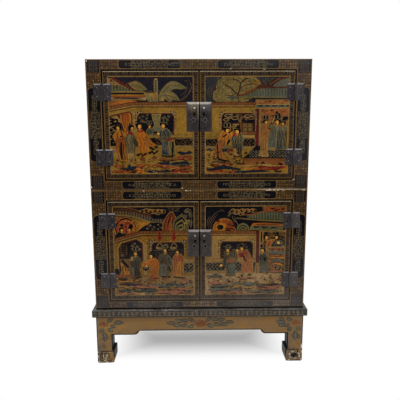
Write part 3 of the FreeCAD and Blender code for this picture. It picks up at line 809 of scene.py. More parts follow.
def frame_paint(bottom, opening, open_top, top, rails, blocks, fields):
    """All that is painted on one case's stiles and rails. A rail is its lower and upper edge, its fields'
    lower and upper edge, the radius of its lozenges, and the share of that in its middle; blocks and fields
    are the lower and upper edges of those on a stile."""
    art = Painting(-329.4, 329.4, bottom + 0.2, top - 0.2)
    for z0, z1, f0, f1, radius, middle_share in rails:
        diaper(art, -middle_half, middle_half, z0, z1, radius * middle_share, "straw")
        for hand in (-1, 1):
            diaper(art, *sorted((hand * middle_half, hand * rail_end)), z0, z1, radius)
            cartouche(art, *sorted((hand * (middle_half + 2), hand * field_end)), f0, f1, 0.6)
    for hand in (-1, 1):
        inner, outer = sorted((hand * stile_inner, hand * stile_outer))
        diaper(art, inner, outer, blocks[0][1], blocks[1][0])
        for z0, z1 in blocks:
            corner_block(art, inner, outer, z0, z1)
        cartouche(art, inner + 1.5, outer - 1.0, *fields, 0.36)
        art.stroke("net", [(hand * 328.4, bottom + 1), (hand * 328.4, top - 1)], 1.6, sharp=True)
    for grow, width, paint in ((1.6, 3.2, "black"), (3.8, 1.5, "gilt")):
        low, high, wide = opening - grow, open_top + grow, opening_half + grow
        loop = [(-wide, low), (wide, low), (wide, high), (-wide, high), (-wide, low - width / 2)]
        art.stroke(paint, loop, width, sharp=True)
    art.stroke("mesh", [(-329, top - 1.1), (329, top - 1.1)], 1.6, sharp=True)
    return art


lower_frame = frame_paint(
    188, 212, 533, 566, ((189.5, 208, 188.8, 209.2, 2.8, 1.0), (537.2, 564.8, 538.5, 561.5, 2.3, 0.7)),
    ((190.5, 230), (525, 562)), (282, 488))
upper_frame = frame_paint(
    566, 598, 919, 950, ((567.5, 594, 570.5, 595, 1.9, 0.7), (923.2, 948.8, 924, 947.2, 2.3, 0.7)),
    ((570.5, 611), (909.5, 948)), (653, 869))
upper_frame.stroke("grey", [(-328, 567.2), (328, 567.2)], 1.5, sharp=True)
upper_frame.stroke("pale", "40 567.1 120 567.3 190 567.0 329 567.2", 1.3, 0.2)
upper_frame.stroke("chalk", "176 567.0 220 567.2 280 567.0 329 567.3", 1.6, 0.3)
for x0, reach in (
        (206, 3.5), (214, 6), (228, 5), (240, 3), (256, 2.4), (318, 6), (-170, 3), (-40, 5), (-28, 3)):
    lower_frame.blob("chalk", x0, 563.6 + 0.12 * reach, reach, 1.1, 7, 0.3)
for x0, z0, rx, rz in (
        (-327, 576, 1.6, 3.5), (-326, 945, 2.4, 2.0), (286, 597, 3.5, 1.2), (190, 920.6, 3, 0.8),
        (92, 922, 3.2, 0.8), (-52, 572, 1.6, 1.6)):
    upper_frame.blob("chalk", x0, z0, rx, rz, 7, 0.3)
for scratch in (
        "-92 934 -70 938 -44 936 -14 938", "-84 939 -62 941 -40 940", "-76 931 -58 933 -30 932 -12 934"):
    upper_frame.stroke("grey", scratch, 1.3)
lower_frame.hang("lower_frame_ornament", "lower_case", on_front(front_face))
upper_frame.hang("upper_frame_ornament", "upper_case", on_front(front_face))

# ---- The doors' borders ----
# Each panel is framed by a gilt line at its edge, a key fret on a dark band and a second gilt line round the
# picture.
band_inset, picture_inset = 3.1, 17.3
door_inner, door_outer = 1.0, 282.9


def door_border(low, high, hand, fret_widths):
    """Border of one door: its panel's lower and upper edge, its hand, and the line widths of its lower and
    upper key fret."""
    x0, x1 = sorted((hand * door_inner, hand * door_outer))
    art = Painting(x0 + 0.4, x1 - 0.4, low + 0.4, high - 0.4)

    def ring(paint, outside, within):
        """Band between two insets from the panel's edge."""
        edges = [np.array([(x0 + a, low + a), (x1 - a, low + a), (x1 - a, high - a), (x0 + a, high - a),
                           (x0 + a, low + a)]) for a in (outside, within)]
        art.lay(np.stack(edges, 1), paint)

    ring("black", 0.4, 1.5)
    ring("gilt", 1.5, band_inset)
    # pale strip along the top edge: partly worn gilding, partly a painted highlight where the edge meets the
    # light
    art.slab("bright", x0 + 2.0, x1 - 2.0, high - 2.6, high - 1.3)
    ring("dark", band_inset, picture_inset - 1.9)
    ring("tan", picture_inset - 1.9, picture_inset)
    a, b = band_inset + 0.8, picture_inset - 2.8
    art.fret("fret", x0 + a, x1 - a, low + a, low + b, fret_widths[0])
    art.fret("fret", x0 + a, x1 - a, high - b, high - a, fret_widths[1])
    art.fret("fret", x0 + a, x0 + b, low + b + 0.8, high - b - 0.8, 1.8)
    art.fret("fret", x1 - b, x1 - a, low + b + 0.8, high - b - 0.8, 1.8)
    return art


door_ends = {"lower": (213.5, 531.5), "upper": (599.5, 917.5)}
fret_widths = {"lower": (1.6, 1.2), "upper": (1.2, 1.5)}
for case in cases:
    for side, hand in hands.items():
        art = door_border(*door_ends[case], hand, fret_widths[case])
        art.hang(f"{case}_{side}_door_border", f"{case}_{side}_door", on_front(front_face))


# ---- The doors' pictures: what they share ----
# Garden scenes of no one in particular: robed figures on a terrace before a house. Every robe, roof, window
# and rail is laid in flat colour and then lined in gold or dark brown.
def picture(case, side, sky="night"):
    """Paint ground of one door inside its border, near black, in the sky's paint at its top."""
    low, high = door_ends[case]
    x0, x1 = sorted((hands[side] * (door_inner + picture_inset), hands[side] * (door_outer - picture_inset)))
    art = Painting(x0, x1, low + picture_inset, high - picture_inset)
    art.slab("night>" + sky, x0, x1, low + picture_inset, high - picture_inset)
    return art


def head(art, x, z, size, way=1, hat="bun"):
    """Egg-shaped face, narrow at the chin, with hair, brows, eyes and mouth as strokes, a crossed collar
    below, and one kind of head-dress. Lengths are shares of its size, which is its height; way is the side it
    looks to."""
    def at(text):
        """Points given in shares of the size, from the head's middle."""
        return pairs(text) * [way * size, size] + [x, z]

    art.area("flesh>copper", at("-0.16 -0.3 -0.2 -0.5 -0.3 -0.66"), at("0.12 -0.3 0.12 -0.5 0.2 -0.7"))
    for side in ("-0.5 -0.52 -0.1 -0.66 0.16 -1.1", "0.4 -0.52 0.2 -0.7 -0.02 -0.9"):
        art.stroke("tan", at(side), 0.13 * size)
    art.area("black", at("-0.1 0.74 -0.6 0.56 -0.72 0.1 -0.52 -0.42"),
             at("0.2 0.66 -0.1 0.4 -0.16 0 -0.2 -0.34"))
    art.area("flesh", at("-0.3 0.34 -0.37 0.06 -0.3 -0.22 -0.04 -0.48 0.02 -0.5"),
             at("0.3 0.34 0.38 0.06 0.31 -0.22 0.12 -0.46 0.02 -0.5"), rim="brick")
    art.area("black", at("-0.52 -0.06 -0.52 0.5 0 0.78 0.5 0.5"),
             at("-0.28 -0.06 -0.24 0.2 0.04 0.3 0.42 0.18"))
    for across in (-0.08, 0.22):
        art.stroke("black", at(f"{across - 0.12} 0.01 {across + 0.1} 0.03"), 0.1 * size)
        art.stroke("umber", at(f"{across - 0.12} 0.15 {across + 0.1} 0.17"), 0.05 * size)
    art.stroke("crimson", at("-0.04 -0.26 0.08 -0.28 0.2 -0.26"), 0.09 * size)
    art.stroke("brick", at("0.12 0.0 0.19 -0.12 0.08 -0.14"), 0.07 * size)
    if hat == "bun":
        art.blob("black", *at("-0.2 0.9")[0], 0.34 * size, 0.3 * size, rim="umber")
        art.dots("scroll", *sorted(at("-0.5 0.56 0.3 0.56")[:, 0]), *at("0 0.54 0 0.7")[:, 1], 3.0, 0.8)
    elif hat == "cap":
        art.area("black", at("-0.5 0.4 -0.5 0.9 -0.1 1.22"), at("0.46 0.44 0.46 0.84 -0.1 1.22"),
                 rim="scroll")
        art.stroke("black", at("-1.1 0.7 -0.5 0.56 0 0.52 0.6 0.6 1.1 0.84"), 0.22 * size)
        art.stroke("scroll", at("-1.0 0.76 0 0.6 1.0 0.9"), 0.12 * size)
    elif hat == "loops":
        for across in (-0.42, 0.24):
            art.blob("black", *at(f"{across} 1.06")[0], 0.3 * size, 0.5 * size, rim="scroll")
        art.dots("scroll", *sorted(at("-0.5 0.4 0.5 0.6")[:, 0]), *at("0 0.5 0 0.7")[:, 1], 2.6, 0.8)


def house_line(art, slope, run, height, tall):
    """Cornice under the eaves: brick band, gilt line and red-brown line, level between run's ends and sloping
    at slope."""
    top = np.array(slope + [(run[0], height), (run[1], height)], float)
    down = np.array([0.0, 1.0])
    art.area("brick", top, top - down * tall, rim="umber", sharp=True)
    art.ribs("maroon", top - down * 2, top - down * (tall - 2.5), int((run[1] - run[0]) / 6), 1.8, sharp=True)
    art.stroke("tan", top - down * (tall + 1.6), 2.0, sharp=True)
    art.stroke("maroon", top - down * (tall + 5.2), 2.5, sharp=True)


def balustrade(art, x0, x1, z0, z1, slant=0.0, line="scroll"):
    """Black panel of crossed bars with small bosses; slant leans its left end."""
    art.area("black", [(x0, z1), (x0 + slant, z0)], [(x1, z1), (x1, z0)], rim="scroll", sharp=True)
    art.lattice(line, x0 + 1 + slant, x1 - 1, z0 + 1, z1 - 1, 11.6, 1.3)
    art.flecks(line, x0 + slant + 2, x1 - 2, z0 + 2, z1 - 2, int((x1 - x0) / 4), 3.2, 2)
    art.flecks("black", x0 + slant, x1, z0, z1, int((x1 - x0) / 2), 3.4, 3)


def window(art, x0, x1, z0, z1):
    """Dark opening with cut upper corners in a brown frame, with dotted leaves along its upper corners."""
    cut = 7
    for hand, corner in ((1, x0), (-1, x1)):
        for a, b, c, d in ((-8, 14, 3, 9), (-9, 0, -16, 6), (-8, -2, -34, -14)):
            left, right = sorted((corner + hand * a, corner + hand * b))
            art.flecks("umber", left, right, z1 + c, z1 + d, 9, 3.6, 3)
            art.dots("pale", left, right, z1 + c, z1 + d, 7.6, 2.1)
    for grow, paint in ((5.0, "tan"), (3.4, "maroon"), (0.5, "night")):
        left = [(x0 - grow, z0 - grow), (x0 - grow, z1 - cut), (x0 + cut - grow, z1 + grow)]
        art.area(paint, left, [(x0 + x1 - px, pz) for px, pz in left], sharp=True)


def curls(art, paint, points, size, width=1.6):
    """Cloud curls: spirals, the radius falling evenly over one turn and a half, turned either way by
    turns."""
    points = pairs(points)
    turn = np.linspace(0, 1, 18)
    curl = np.stack([np.cos(9 * turn), np.sin(9 * turn)], -1) * (1 - 0.75 * turn)[:, None]
    ways = np.where(np.arange(len(points)) % 2, 1, -1)[:, None]
    art.lay(ribbon(curl * np.stack([ways, np.ones_like(ways)], -1) * size + points[:, None], width), paint)


def shrub(art, paint, points, size):
    """Clump of short leaves round each point."""
    for number, (px, pz) in enumerate(pairs(points)):
        for turn_by in range(5):
            art.leaf(paint, px, pz, size, size * 0.45, 36 * turn_by + 17 * number)


def terrace(art, seed, x0, x1, z0, z1, bands):
    """Bands of ground, with brush marks strewn between them."""
    art.flecks("brick", x0, x1, z0, z1, 70, 5.0, seed)
    for paint, start, end, height, thick in bands:
        art.wave(paint, start, end, height, thick)
    art.flecks("dark", x0, x1, z0, z1, 60, 3.6, seed + 1)
    art.flecks("tan", x0, x1, z0, z1, 60, 4.0, seed + 2)


# ---- The upper left door's picture ----
# A tiled roof and a banana plant over a wall, a doorway with a curtain, a window, five figures and a striped
# terrace.
art = picture("upper", "left", "ink")
art.slab("ochre", -266, -18, 616, 827)
art.area("gilt>moss", "-266 897 -250 895 -232 884 -208 871 -176 862 -160 858",
         "-266 858 -240 858 -215 858 -195 858 -176 857 -160 857")
art.area("moss", "-266 876 -240 876 -216 873 -196 867 -164 859",
         "-266 858 -240 858 -216 858 -196 858 -164 857")
art.ribs("dark", "-258 876 -230 876 -205 869 -178 862", "-258 860 -230 860 -205 859 -178 858", 10, 2.8)
art.flecks("maroon", -262, -222, 870, 892, 26, 3.8)
art.stroke("tan", "-264 878 -238 878 -214 874 -194 868", 1.6)
for path, paint, width in (
        ("-256 899 -242 891 -226 880 -208 871 -190 864 -172 860", "maroon", 7.5),
        ("-254 900 -240 892 -224 882 -206 873", "plum", 2.0), ("-250 889 -232 878 -212 868", "tan", 1.5),
        ("-199 885 -208 883 -211 877 -203 870 -190 866", "maroon", 4.5), ("-204 880 -200 876", "plum", 3),
        ("-266 857 -215 857.5 -158 856.5", "tan", 2.6), ("-266 853 -215 853 -158 852", "dark", 2.6)):
    art.stroke(paint, path, width, 0.8)
art.slab("rust>honey", -266, -160, 842, 850.5)
art.stroke("amber", "-262 848 -210 848.5 -164 847", 2.2)
art.slab("sand>buff", -266, -156, 833, 842)
art.wave("indigo", -258, -160, 840.2, 3.6, 0.8)
art.stroke("olive", "-266 835.5 -220 836.5 -160 835", 2.6, 0.8)
art.stroke("umber", "-200 833 -180 832.4 -156 832", 2.6)
art.area("brick>orange", "-266 832 -230 834 -196 833 -184 831", "-266 815 -232 822 -202 828 -184 829")
art.stroke("amber", "-262 822 -236 827 -206 831", 2.2)
for path in ("-170 878 -150 893 -124 893", "-167 874 -149 889", "-152 888 -148 872"):
    art.stroke("umber", path, 1.5)
for one, other in (
        ("-206 881 -186 888 -168 879 -152 864", "-206 881 -194 868 -176 861 -152 864"),
        ("-162 854 -158 843 -148 829", "-121 855 -120 842 -122 829"),
        ("-118 831 -116 852 -102 872 -84 886 -62 884 -37 868",
         "-104 831 -98 848 -86 860 -70 867 -54 865 -37 868"),
        ("-112 850 -92 860 -72 852 -58 834 -66 833", "-112 850 -100 838 -88 830 -76 834 -66 833"),
        ("-104 848 -92 838 -82 830 -76 819", "-98 846 -92 832 -86 824 -78 818")):
    art.area("tan>moss", one, other, rim="olive", folds=3, fold="moss")
art.area("olive", "-200 878 -184 880 -168 874 -158 866", "-198 876 -186 869 -172 866 -158 866")
art.area("celadon", "-108 838 -102 855 -91 866 -76 873 -60 874", "-106 838 -98 852 -88 862 -74 870 -58 874")
for path, paint, width in (
        ("-154 852 -148 842 -142 830", "leaf", 5), ("-138 853 -136 842 -134 832", "amber", 3.4),
        ("-128 853 -124 842 -122 830", "amber", 3.0), ("-116 832 -114 846 -106 858", "leaf", 3.4),
        ("-112 843 -100 862 -84 876 -52 876", "umber", 1.2), ("-104 849 -86 846 -66 838", "umber", 1.2),
        ("-158 862 -178 873 -198 880", "umber", 1.2)):
    art.stroke(paint, path, width)
art.area("moss", "-131.5 856 -131.5 880 -131 893", "-121.5 856 -121.5 880 -121 893", rim="tan")
art.ribs("umber", "-130 860 -130 888", "-124 862 -124 890", 5, 1.2)
art.blob("tan", -126, 893, 6, 4, 5, 0.2, rim="umber")
curls(art, "fret", "-150 856 -141 858 -132 856 -118 858", 4.0, 1.1)
for loop in (
        "-58 832 -46 842 -36 862 -34 884 -44 890", "-46 834 -32 850 -24 870 -30 890 -44 886",
        "-52 836 -34 848 -22 866 -24 884", "-60 830 -40 840 -30 856 -28 872", "-56 846 -42 856 -36 872"):
    art.stroke("fret", loop, 1.3)
house_line(art, [(-266, 815)], (-196, -18), 828, 8.8)
art.flecks("amber", -186, -40, 722, 808, 26, 4.0, 4)
art.area("umber", "-266 788 -236 796 -204 799", "-266 700 -236 700 -204 700")
art.area("sand", "-264 786 -246 778 -236 766", "-250 792 -238 784 -230 770")
art.slab("black", -266, -240, 700, 780)
art.flecks("tan", -265, -241, 703, 777, 20, 4.6, 3)
art.flecks("scroll", -265, -241, 703, 777, 16, 4.0, 6)
art.flecks("black", -265, -241, 703, 777, 44, 4.6, 8)
art.area("rust>orange", "-234 794 -231 776 -225 757 -219 736", "-206 797 -205 776 -209 757 -213 736",
         rim="amber", folds=3, fold="maroon")
art.area("amber", "-207 796 -205 778 -207 764", "-202 796 -201 778 -203 764")
art.stroke("maroon", "-266 786 -236 794 -206 800 -200 792 -199 700", 3.8, 0.9, sharp=True)
art.slab("sand", -197, -188, 700, 800)
art.stroke("tan", [(-192, 702), (-192, 800)], 2.0, sharp=True)
window(art, -181, -77, 726, 793)
curls(art, "scroll", "-166 786 -156 780 -168 774 -154 790 -176 782 -104 784 -94 776 -103 770 -90 786", 4.4,
      1.0)
shrub(art, "fret", "-170 770 -160 768 -98 762", 7)
art.area("olive>leaf", "-140 793 -137 776 -133 762 -140 750", "-113 793 -118 776 -118 762 -111 750",
         rim="tan", folds=3, fold="moss")
art.area("celadon>sage", "-141 752 -134 744 -138 734", "-113 752 -116 744 -112 734")
art.slab("dark", -139, -124, 735, 744, rim="scroll")
art.stroke("brick", "-73 782 -72 760 -76 742 -84 734", 3)
art.slab("ochre", -186, -18, 724, 732, rim="net")
balustrade(art, -160, -108, 702, 724, 26, "net")
balustrade(art, -74, -19, 700, 722, 0.0, "net")
art.slab("sand", -122, -19, 695, 700)
head(art, -147, 757, 11, 1, "loops")
art.area("sage", "-154 750 -158 740 -156 733", "-142 751 -137 742 -140 733", rim="scroll")
art.blob("flesh", -160, 734, 3, 2.6)
# a woman in amber, a servant in grey-green, a dancer in orange, a lord in teal
art.area("amber>orange", "-247 746 -257 730 -250 712 -244 704", "-234 748 -219 740 -216 722 -224 708",
         rim="net", folds=2)
art.area("rust>amber", "-247 722 -248 700 -244 676 -238 655", "-222 724 -220 700 -218 676 -214 653",
         rim="net", folds=2)
art.area("dark", "-235 712 -237 690 -236 662", "-231 712 -230 690 -229 659")
art.stroke("rust", "-247 724 -234 720 -222 724", 4)
art.blob("indigo", -232, 728, 5, 2.4)
art.stroke("sand", "-220 720 -213 690 -214 655", 4)
head(art, -241, 753, 14, -1, "bun")
art.area("celadon>tan", "-211 735 -221 720 -214 700 -217 678 -213 652",
         "-196 736 -190 718 -190 700 -194 678 -192 652", rim="net", folds=4, fold="sage")
art.area("sage", "-196 732 -188 718 -182 708", "-200 716 -192 700 -180 698", rim="net", folds=2, fold="dark")
art.area("tan", "-216 678 -213 664 -214 652", "-196 678 -196 664 -192 652", folds=2, fold="olive")
art.stroke("sand", "-200 690 -196 672 -204 655", 3)
art.blob("crimson", -203, 737, 7.5, 4.4)
art.area("black", "-211 744 -211 757 -206 768", "-202 744 -202 757 -204 768", rim="fret")
head(art, -199, 752, 13, 1, "none")
art.area("orange>amber", "-185 742 -187 728 -182 708 -181 690 -178 670",
         "-165 743 -152 726 -142 712 -150 694 -156 668", rim="amber", folds=3, fold="rust")
art.area("amber>orange", "-158 728 -144 714 -128 703", "-166 716 -156 702 -140 696", rim="net", folds=1,
         fold="rust")
art.blob("crimson", -174, 745, 8.6, 4.6)
head(art, -177, 758, 15.5, 1, "bun")
art.area("teal>sage", "-113 749 -122 738 -119 727 -111 720", "-97 752 -85 740 -84 728 -88 720", rim="scroll",
         folds=3, fold="dark")
art.area("sage", "-112 730 -120 722 -114 714 -98 712", "-96 728 -88 724 -86 718 -90 714", rim="net", folds=2,
         fold="olive")
art.area("teal>indigo", "-112 716 -111 698 -113 674", "-92 714 -92 698 -90 672", rim="scroll", folds=3,
         fold="slate")
art.area("olive", "-92 716 -90 698 -88 674", "-75 718 -72 698 -71 676", rim="tan", folds=2, fold="sage")
art.area("dark", "-82 712 -82 695 -84 664", "-77 712 -77 695 -80 664")
art.stroke("crimson", "-98 716 -88 718 -76 723", 6, 0.7)
art.stroke("umber", "-116 672 -96 668 -72 671", 5)
art.blob("flesh", -122, 736, 3.6, 3)
head(art, -107, 759, 15, -1, "loops")
for points in (
        "-184 671 -176 674 -168 670 -160 674", "-150 677 -142 680 -134 676 -126 681",
        "-146 692 -138 688 -128 694"):
    shrub(art, "black", points, 6.5)
for px, pz in ((-170, 660), (-135, 663)):
    art.blob("brick", px, pz, 8, 6.5, 5, 0.25, rim="maroon")
    art.blob("rust", px, pz + 1, 4, 3, 5, 0.25, rim="maroon")
art.blob("rose", -252, 687, 6, 4, 5, 0.2)
terrace(art, 11, -264, -20, 618, 662, (
    ("indigo", -68, -20, 679, 8), ("brick", -66, -20, 669, 7), ("rust", -76, -20, 662, 8),
    ("brick", -132, -66, 659, 7), ("indigo", -130, -20, 648, 8), ("sage", -112, -30, 641, 7),
    ("rust", -192, -146, 641, 8), ("rust", -146, -90, 640, 8), ("rust", -100, -20, 634, 9),
    ("rust", -258, -222, 640, 7), ("indigo", -236, -168, 633, 8), ("rust", -264, -194, 623, 10),
    ("orange", -196, -166, 630, 6), ("umber", -206, -186, 622, 8), ("orange", -190, -164, 622, 7),
    ("indigo", -162, -84, 623, 9), ("crimson", -88, -22, 622, 9), ("tan", -262, -22, 617.6, 3)))
art.area("indigo", "-218 634 -210 646 -203 634", "-218 630 -210 631 -203 630")
art.hang("upper_left_door_picture", "upper_left_door", on_front(front_face))

# ---- The upper right door's picture ----
# A spreading tree and a roof, a window with shelves, two figures before it and three in the open hall on the
# right.
art = picture("upper", "right", "dusk")
art.slab("ochre", 18, 266, 612, 828)
for grow, paint in ((1.8, "tan"), (0.0, "olive")):
    for x0, z0, rx, rz, lobes in (
            (62, 846, 20, 20, 8), (86, 872, 34, 30, 11), (124, 874, 44, 28, 12), (152, 874, 28, 24, 9),
            (104, 846, 54, 20, 12)):
        art.blob(paint, x0, z0, rx + grow, rz + grow, lobes, 0.1)
for paint, seed in (("sand", 5), ("moss", 6), ("net", 7), ("tan", 8), ("leaf", 9)):
    art.flecks(paint, 52, 130, 832, 896, 110, 2.6, seed)
    art.flecks(paint, 124, 166, 858, 892, 46, 2.6, seed)
art.flecks("amber", 158, 174, 876, 894, 12, 4.4, 2)
for branch, width in (
        ("118 828 113 846 119 862 122 880 134 892 150 897", 4.5), ("113 848 102 860 88 872 70 879", 3.4),
        ("121 868 136 876 158 880 174 876", 2.2), ("109 852 96 846 78 848", 2.0),
        ("122 880 112 890 96 894", 2.2), ("136 892 136 898", 3)):
    art.stroke("umber", branch, width, 0.4)
art.area("teal", "84 841 96 844 112 842", "84 838 96 837 112 839")
for loop in ("28 838 30 858 40 872", "34 836 36 856 46 870", "24 842 26 862 34 876", "42 878 38 866 44 856"):
    art.stroke("fret", loop, 1.3)
art.area("grey>slate", "214 872 226 884 244 894 266 898", "214 868 232 868 248 869 266 870", rim="umber")
art.area("moss>slate", "118 850 150 854 176 866 200 869 266 869", "118 842 150 842 176 841 200 840 266 840")
art.ribs("slate", "168 860 180 865 200 867 262 867", "170 843 180 842 200 841 262 841", 12, 4.0)
art.ribs("sage", "130 849 150 853 176 863 200 866 262 866",
         "132 844 150 844 176 844 200 844 262 844", 17, 2.8)
for path, paint, width in (
        ("114 846 136 851 160 861 182 876 196 874", "maroon", 6.5),
        ("120 849 146 855 170 868", "copper", 1.5), ("168 867 200 869 264 869", "maroon", 5),
        ("204 873 218 883 236 893 264 900", "maroon", 5.5), ("206 876 220 886 238 896", "copper", 1.5),
        ("200 872 214 886 224 890", "umber", 3), ("112 842 180 841 266 840", "olive", 3),
        ("130 836.5 190 836.5 266 836", "dark", 2)):
    art.stroke(paint, path, width, 0.8)
curls(art, "fret", "190 886 198 892 206 886 214 892 196 880", 4.4, 1.3)
art.blob("black", 164, 832, 4, 3)
art.slab("copper>gilt", 166, 266, 822, 835)
art.flecks("brick", 170, 262, 823, 834, 16, 5, 2)
art.slab("grey>celadon", 166, 266, 810, 820, rim="tan")
for x0 in range(172, 262, 21):
    art.wave("indigo", x0, x0 + 18, 817, 3.0, 0.4)
house_line(art, [], (18, 166), 827.5, 9)
art.flecks("amber", 40, 166, 722, 800, 26, 4.0, 4)
art.slab("sand>copper", 178, 266, 664, 808)
art.slab("copper", 200, 262, 782, 807)
art.flecks("brick", 184, 262, 770, 806, 30, 7, 5)
art.flecks("tan", 180, 262, 700, 780, 34, 6, 6)
art.slab("plum", 168.5, 176.5, 664, 807, rim="umber")
art.stroke("tan", "181 806 180 770 182 720", 4.0, 0.8)
window(art, 69, 164, 737, 793)
art.flecks("brick", 118, 134, 764, 792, 16, 5, 2)
for x0, z0, rx, rz in (
        (86, 788, 11, 4.6), (106, 781, 11, 5), (80, 776, 8, 4.5), (144, 787, 10, 4), (154, 781, 11, 4)):
    art.blob("umber", x0, z0, rx, rz, 5, 0.2, rim="tan")
curls(art, "scroll", "96 790 88 780 114 788 126 782 120 772 140 778 158 788", 4.6, 1.3)
art.slab("umber", 71, 162, 738, 767)
art.slab("black", 71, 122, 740, 765)
art.fret("tan", 73, 121, 741, 752, 2.1)
art.fret("tan", 73, 121, 754, 764, 2.1)
for z0, z1 in ((741, 752), (754, 765)):
    art.slab("black", 128, 160, z0, z1, rim="net")
    art.fret("tan", 130, 158, z0 + 1.5, z1 - 1.5, 1.4)
art.stroke("brick", [(124, 737), (124, 767)], 3, sharp=True)
art.slab("brick", 100, 167, 733, 741, rim="umber")
art.slab("tan", 50, 167, 722, 732, rim="net")
balustrade(art, 19, 60, 698, 720, 0.0, "net")
balustrade(art, 130, 167, 697, 720, 0.0, "net")
art.slab("sand", 19, 167, 692, 697)
# a lady in orange with a black sash, and a servant in grey-green with a red collar
art.area("orange>amber", "66 742 56 724 58 706 70 700", "90 748 100 738 92 716 80 700", rim="amber", folds=3,
         fold="brick")
art.area("copper>amber", "58 712 48 700 44 680 46 660", "78 716 76 700 74 680 90 656", rim="net", folds=4,
         fold="brick")
art.area("amber", "64 744 56 728 54 716", "76 746 70 730 64 714", rim="net")
art.area("dark", "52 704 53 684 54 662", "56 704 57 684 59 660")
art.stroke("black", "71 726 84 735 100 747", 4.4, 0.7)
art.area("black", "82 700 84 712 92 720", "78 698 88 706 94 716")
head(art, 84, 745, 14.5, 1, "loops")
art.area("moss>sage", "101 734 94 718 98 704 96 690", "124 736 132 722 130 704 131 690", rim="scroll",
         folds=4, fold="dark")
art.area("sage", "98 706 102 690 104 668", "130 708 128 690 126 666", rim="net", folds=4, fold="dark")
art.area("tan", "104 692 102 682 104 670", "110 692 112 682 114 670")
art.area("rust>crimson", "96 696 90 686 88 672", "101 694 98 684 94 672")
art.stroke("dark", "103 669 114 667 130 670", 4.6, 0.7)
art.blob("crimson", 110, 731, 10, 4.8)
head(art, 113, 741, 15, -1, "bun")
# three in the hall, on its black floor
art.area("dark", "130 662 148 676 170 700", "266 662 266 674 266 686")
art.lattice("grey", 150, 264, 664, 686, 9, 1.5)
art.flecks("scroll", 170, 262, 664, 684, 30, 3, 9)
art.slab("brick", 131, 266, 653, 662)
art.slab("amber>brick", 134, 266, 626, 653)
art.flecks("copper", 136, 264, 636, 652, 30, 8, 3)
art.slab("plum", 131, 135, 638, 660)
art.area("copper>sand", "190 764 182 748 182 722 184 690 178 670", "206 764 206 748 204 722 204 690 208 668",
         rim="tan", folds=3, fold="rust")
art.area("rust", "200 760 212 754 222 756", "202 748 212 744 222 750", rim="tan", folds=1)
art.area("tan", "184 682 184 674 188 666", "204 684 206 676 206 666", folds=3, fold="copper")
head(art, 199, 769, 13, 1, "loops")
art.area("moss", "248 760 250 740 248 700 246 688", "262 756 264 738 263 700 264 688", rim="tan",
         folds=3, fold="dark")
head(art, 249, 764, 11, -1, "bun")
art.area("celadon>slate", "226 760 214 744 208 722 206 700 206 688",
         "238 760 230 744 230 722 230 700 228 686", rim="scroll", folds=4, fold="teal")
art.area("slate>teal", "236 758 232 742 232 716 230 688", "242 756 250 740 250 716 250 688", rim="scroll",
         folds=4, fold="indigo")
art.area("tan", "208 694 208 690 206 686", "228 694 228 690 228 684", folds=3, fold="moss")
art.area("moss", "222 756 214 764 208 758", "228 748 218 750 212 748", rim="net")
head(art, 232, 769, 15, -1, "loops")
curls(art, "dark", "226 786 236 790 230 796", 4, 2)
art.area("black", "246 774 250 784 264 786", "248 772 256 774 264 776", rim="fret")
art.area("tan", "214 766 218 778 224 790", "220 766 224 776 226 788", rim="umber")
shrub(art, "indigo", "26 685 32 687 38 685 76 684 82 686 88 684", 7)
shrub(art, "leaf", "78 694 88 694 38 693", 6)
shrub(art, "umber", "30 668 36 664 140 676 112 650 106 646 124 654", 6)
art.stroke("dark", "42 662 68 657 92 652", 5.5, 0.8)
art.stroke("umber", "50 658 54 668", 3)
terrace(art, 21, 20, 130, 618, 690, (
    ("brick", 24, 96, 648, 8), ("rust", 34, 94, 641, 8), ("rust", 24, 112, 621.5, 9),
    ("indigo", 104, 216, 622, 8), ("crimson", 176, 262, 633, 7), ("rust", 160, 226, 629, 6),
    ("sage", 36, 80, 652, 3), ("umber", 226, 250, 622, 5), ("tan", 130, 262, 640, 6),
    ("umber", 100, 140, 647, 3), ("tan", 20, 262, 616.8, 3)))
art.area("indigo", "24 630 48 634 70 641 92 636 124 630", "24 625 48 627 70 631 92 630 124 627", rim="dark")
art.hang("upper_right_door_picture", "upper_right_door", on_front(front_face))

# ---- The lower left door's picture ----
# A gable with two figures in its moon window, rocks and a cloud above; an eight-sided doorway, a window and
# five more figures below.
art = picture("lower", "left")
art.slab("sand", -268, -18, 228, 300)
art.slab("honey", -268, -18, 292, 442)
art.area("umber", "-268 515 -240 515 -214 511 -186 502 -150 490",
         "-268 500 -240 500 -214 498 -186 492 -150 484")
art.area("net>grey", "-268 502 -236 502 -200 498 -160 486 -112 476",
         "-268 490 -236 490 -200 484 -160 472 -108 464", rim="umber")
art.ribs("umber", "-264 502 -236 502 -200 498 -160 486 -116 476",
         "-264 490 -236 490 -200 484 -160 472 -114 465", 19, 3.4)
art.area("brick>honey", "-268 488 -236 488 -204 482 -160 468", "-268 412 -236 420 -204 430 -182 438")
art.area("honey>amber", "-204 482 -180 474 -152 466", "-204 430 -192 436 -182 440")
for path, paint, width in (
        ("-256 508 -214 504 -186 495 -150 484", "maroon", 3),
        ("-230 514 -200 507 -172 497 -148 489", "brick", 1.8),
        ("-268 489 -236 489 -200 483 -156 469 -110 464", "olive", 4),
        ("-268 485 -236 485 -200 478 -158 464", "umber", 2)):
    art.stroke(paint, path, width, 0.8)
art.blob("amber", -228, 446, 37, 37, rim="umber")
art.blob("black", -228, 447, 33, 34)
art.blob("rust>copper", -227, 445, 30, 31)
art.flecks("crimson", -248, -206, 424, 472, 26, 6, 3)
art.flecks("amber", -248, -206, 424, 472, 14, 6, 4)
art.area("dark", "-252 436 -262 424 -262 416", "-238 436 -226 426 -222 420", rim="fret")
art.area("rust", "-222 438 -224 428 -222 422", "-208 440 -202 434 -200 428")
art.blob("black", -240, 457, 6, 5, rim="fret")
art.blob("black", -212, 454, 6, 7, rim="umber")
head(art, -240, 442, 12, 1, "none")
head(art, -217, 443, 11, -1, "none")
art.stroke("plum", "-227 468 -227 434", 5, 0.8)
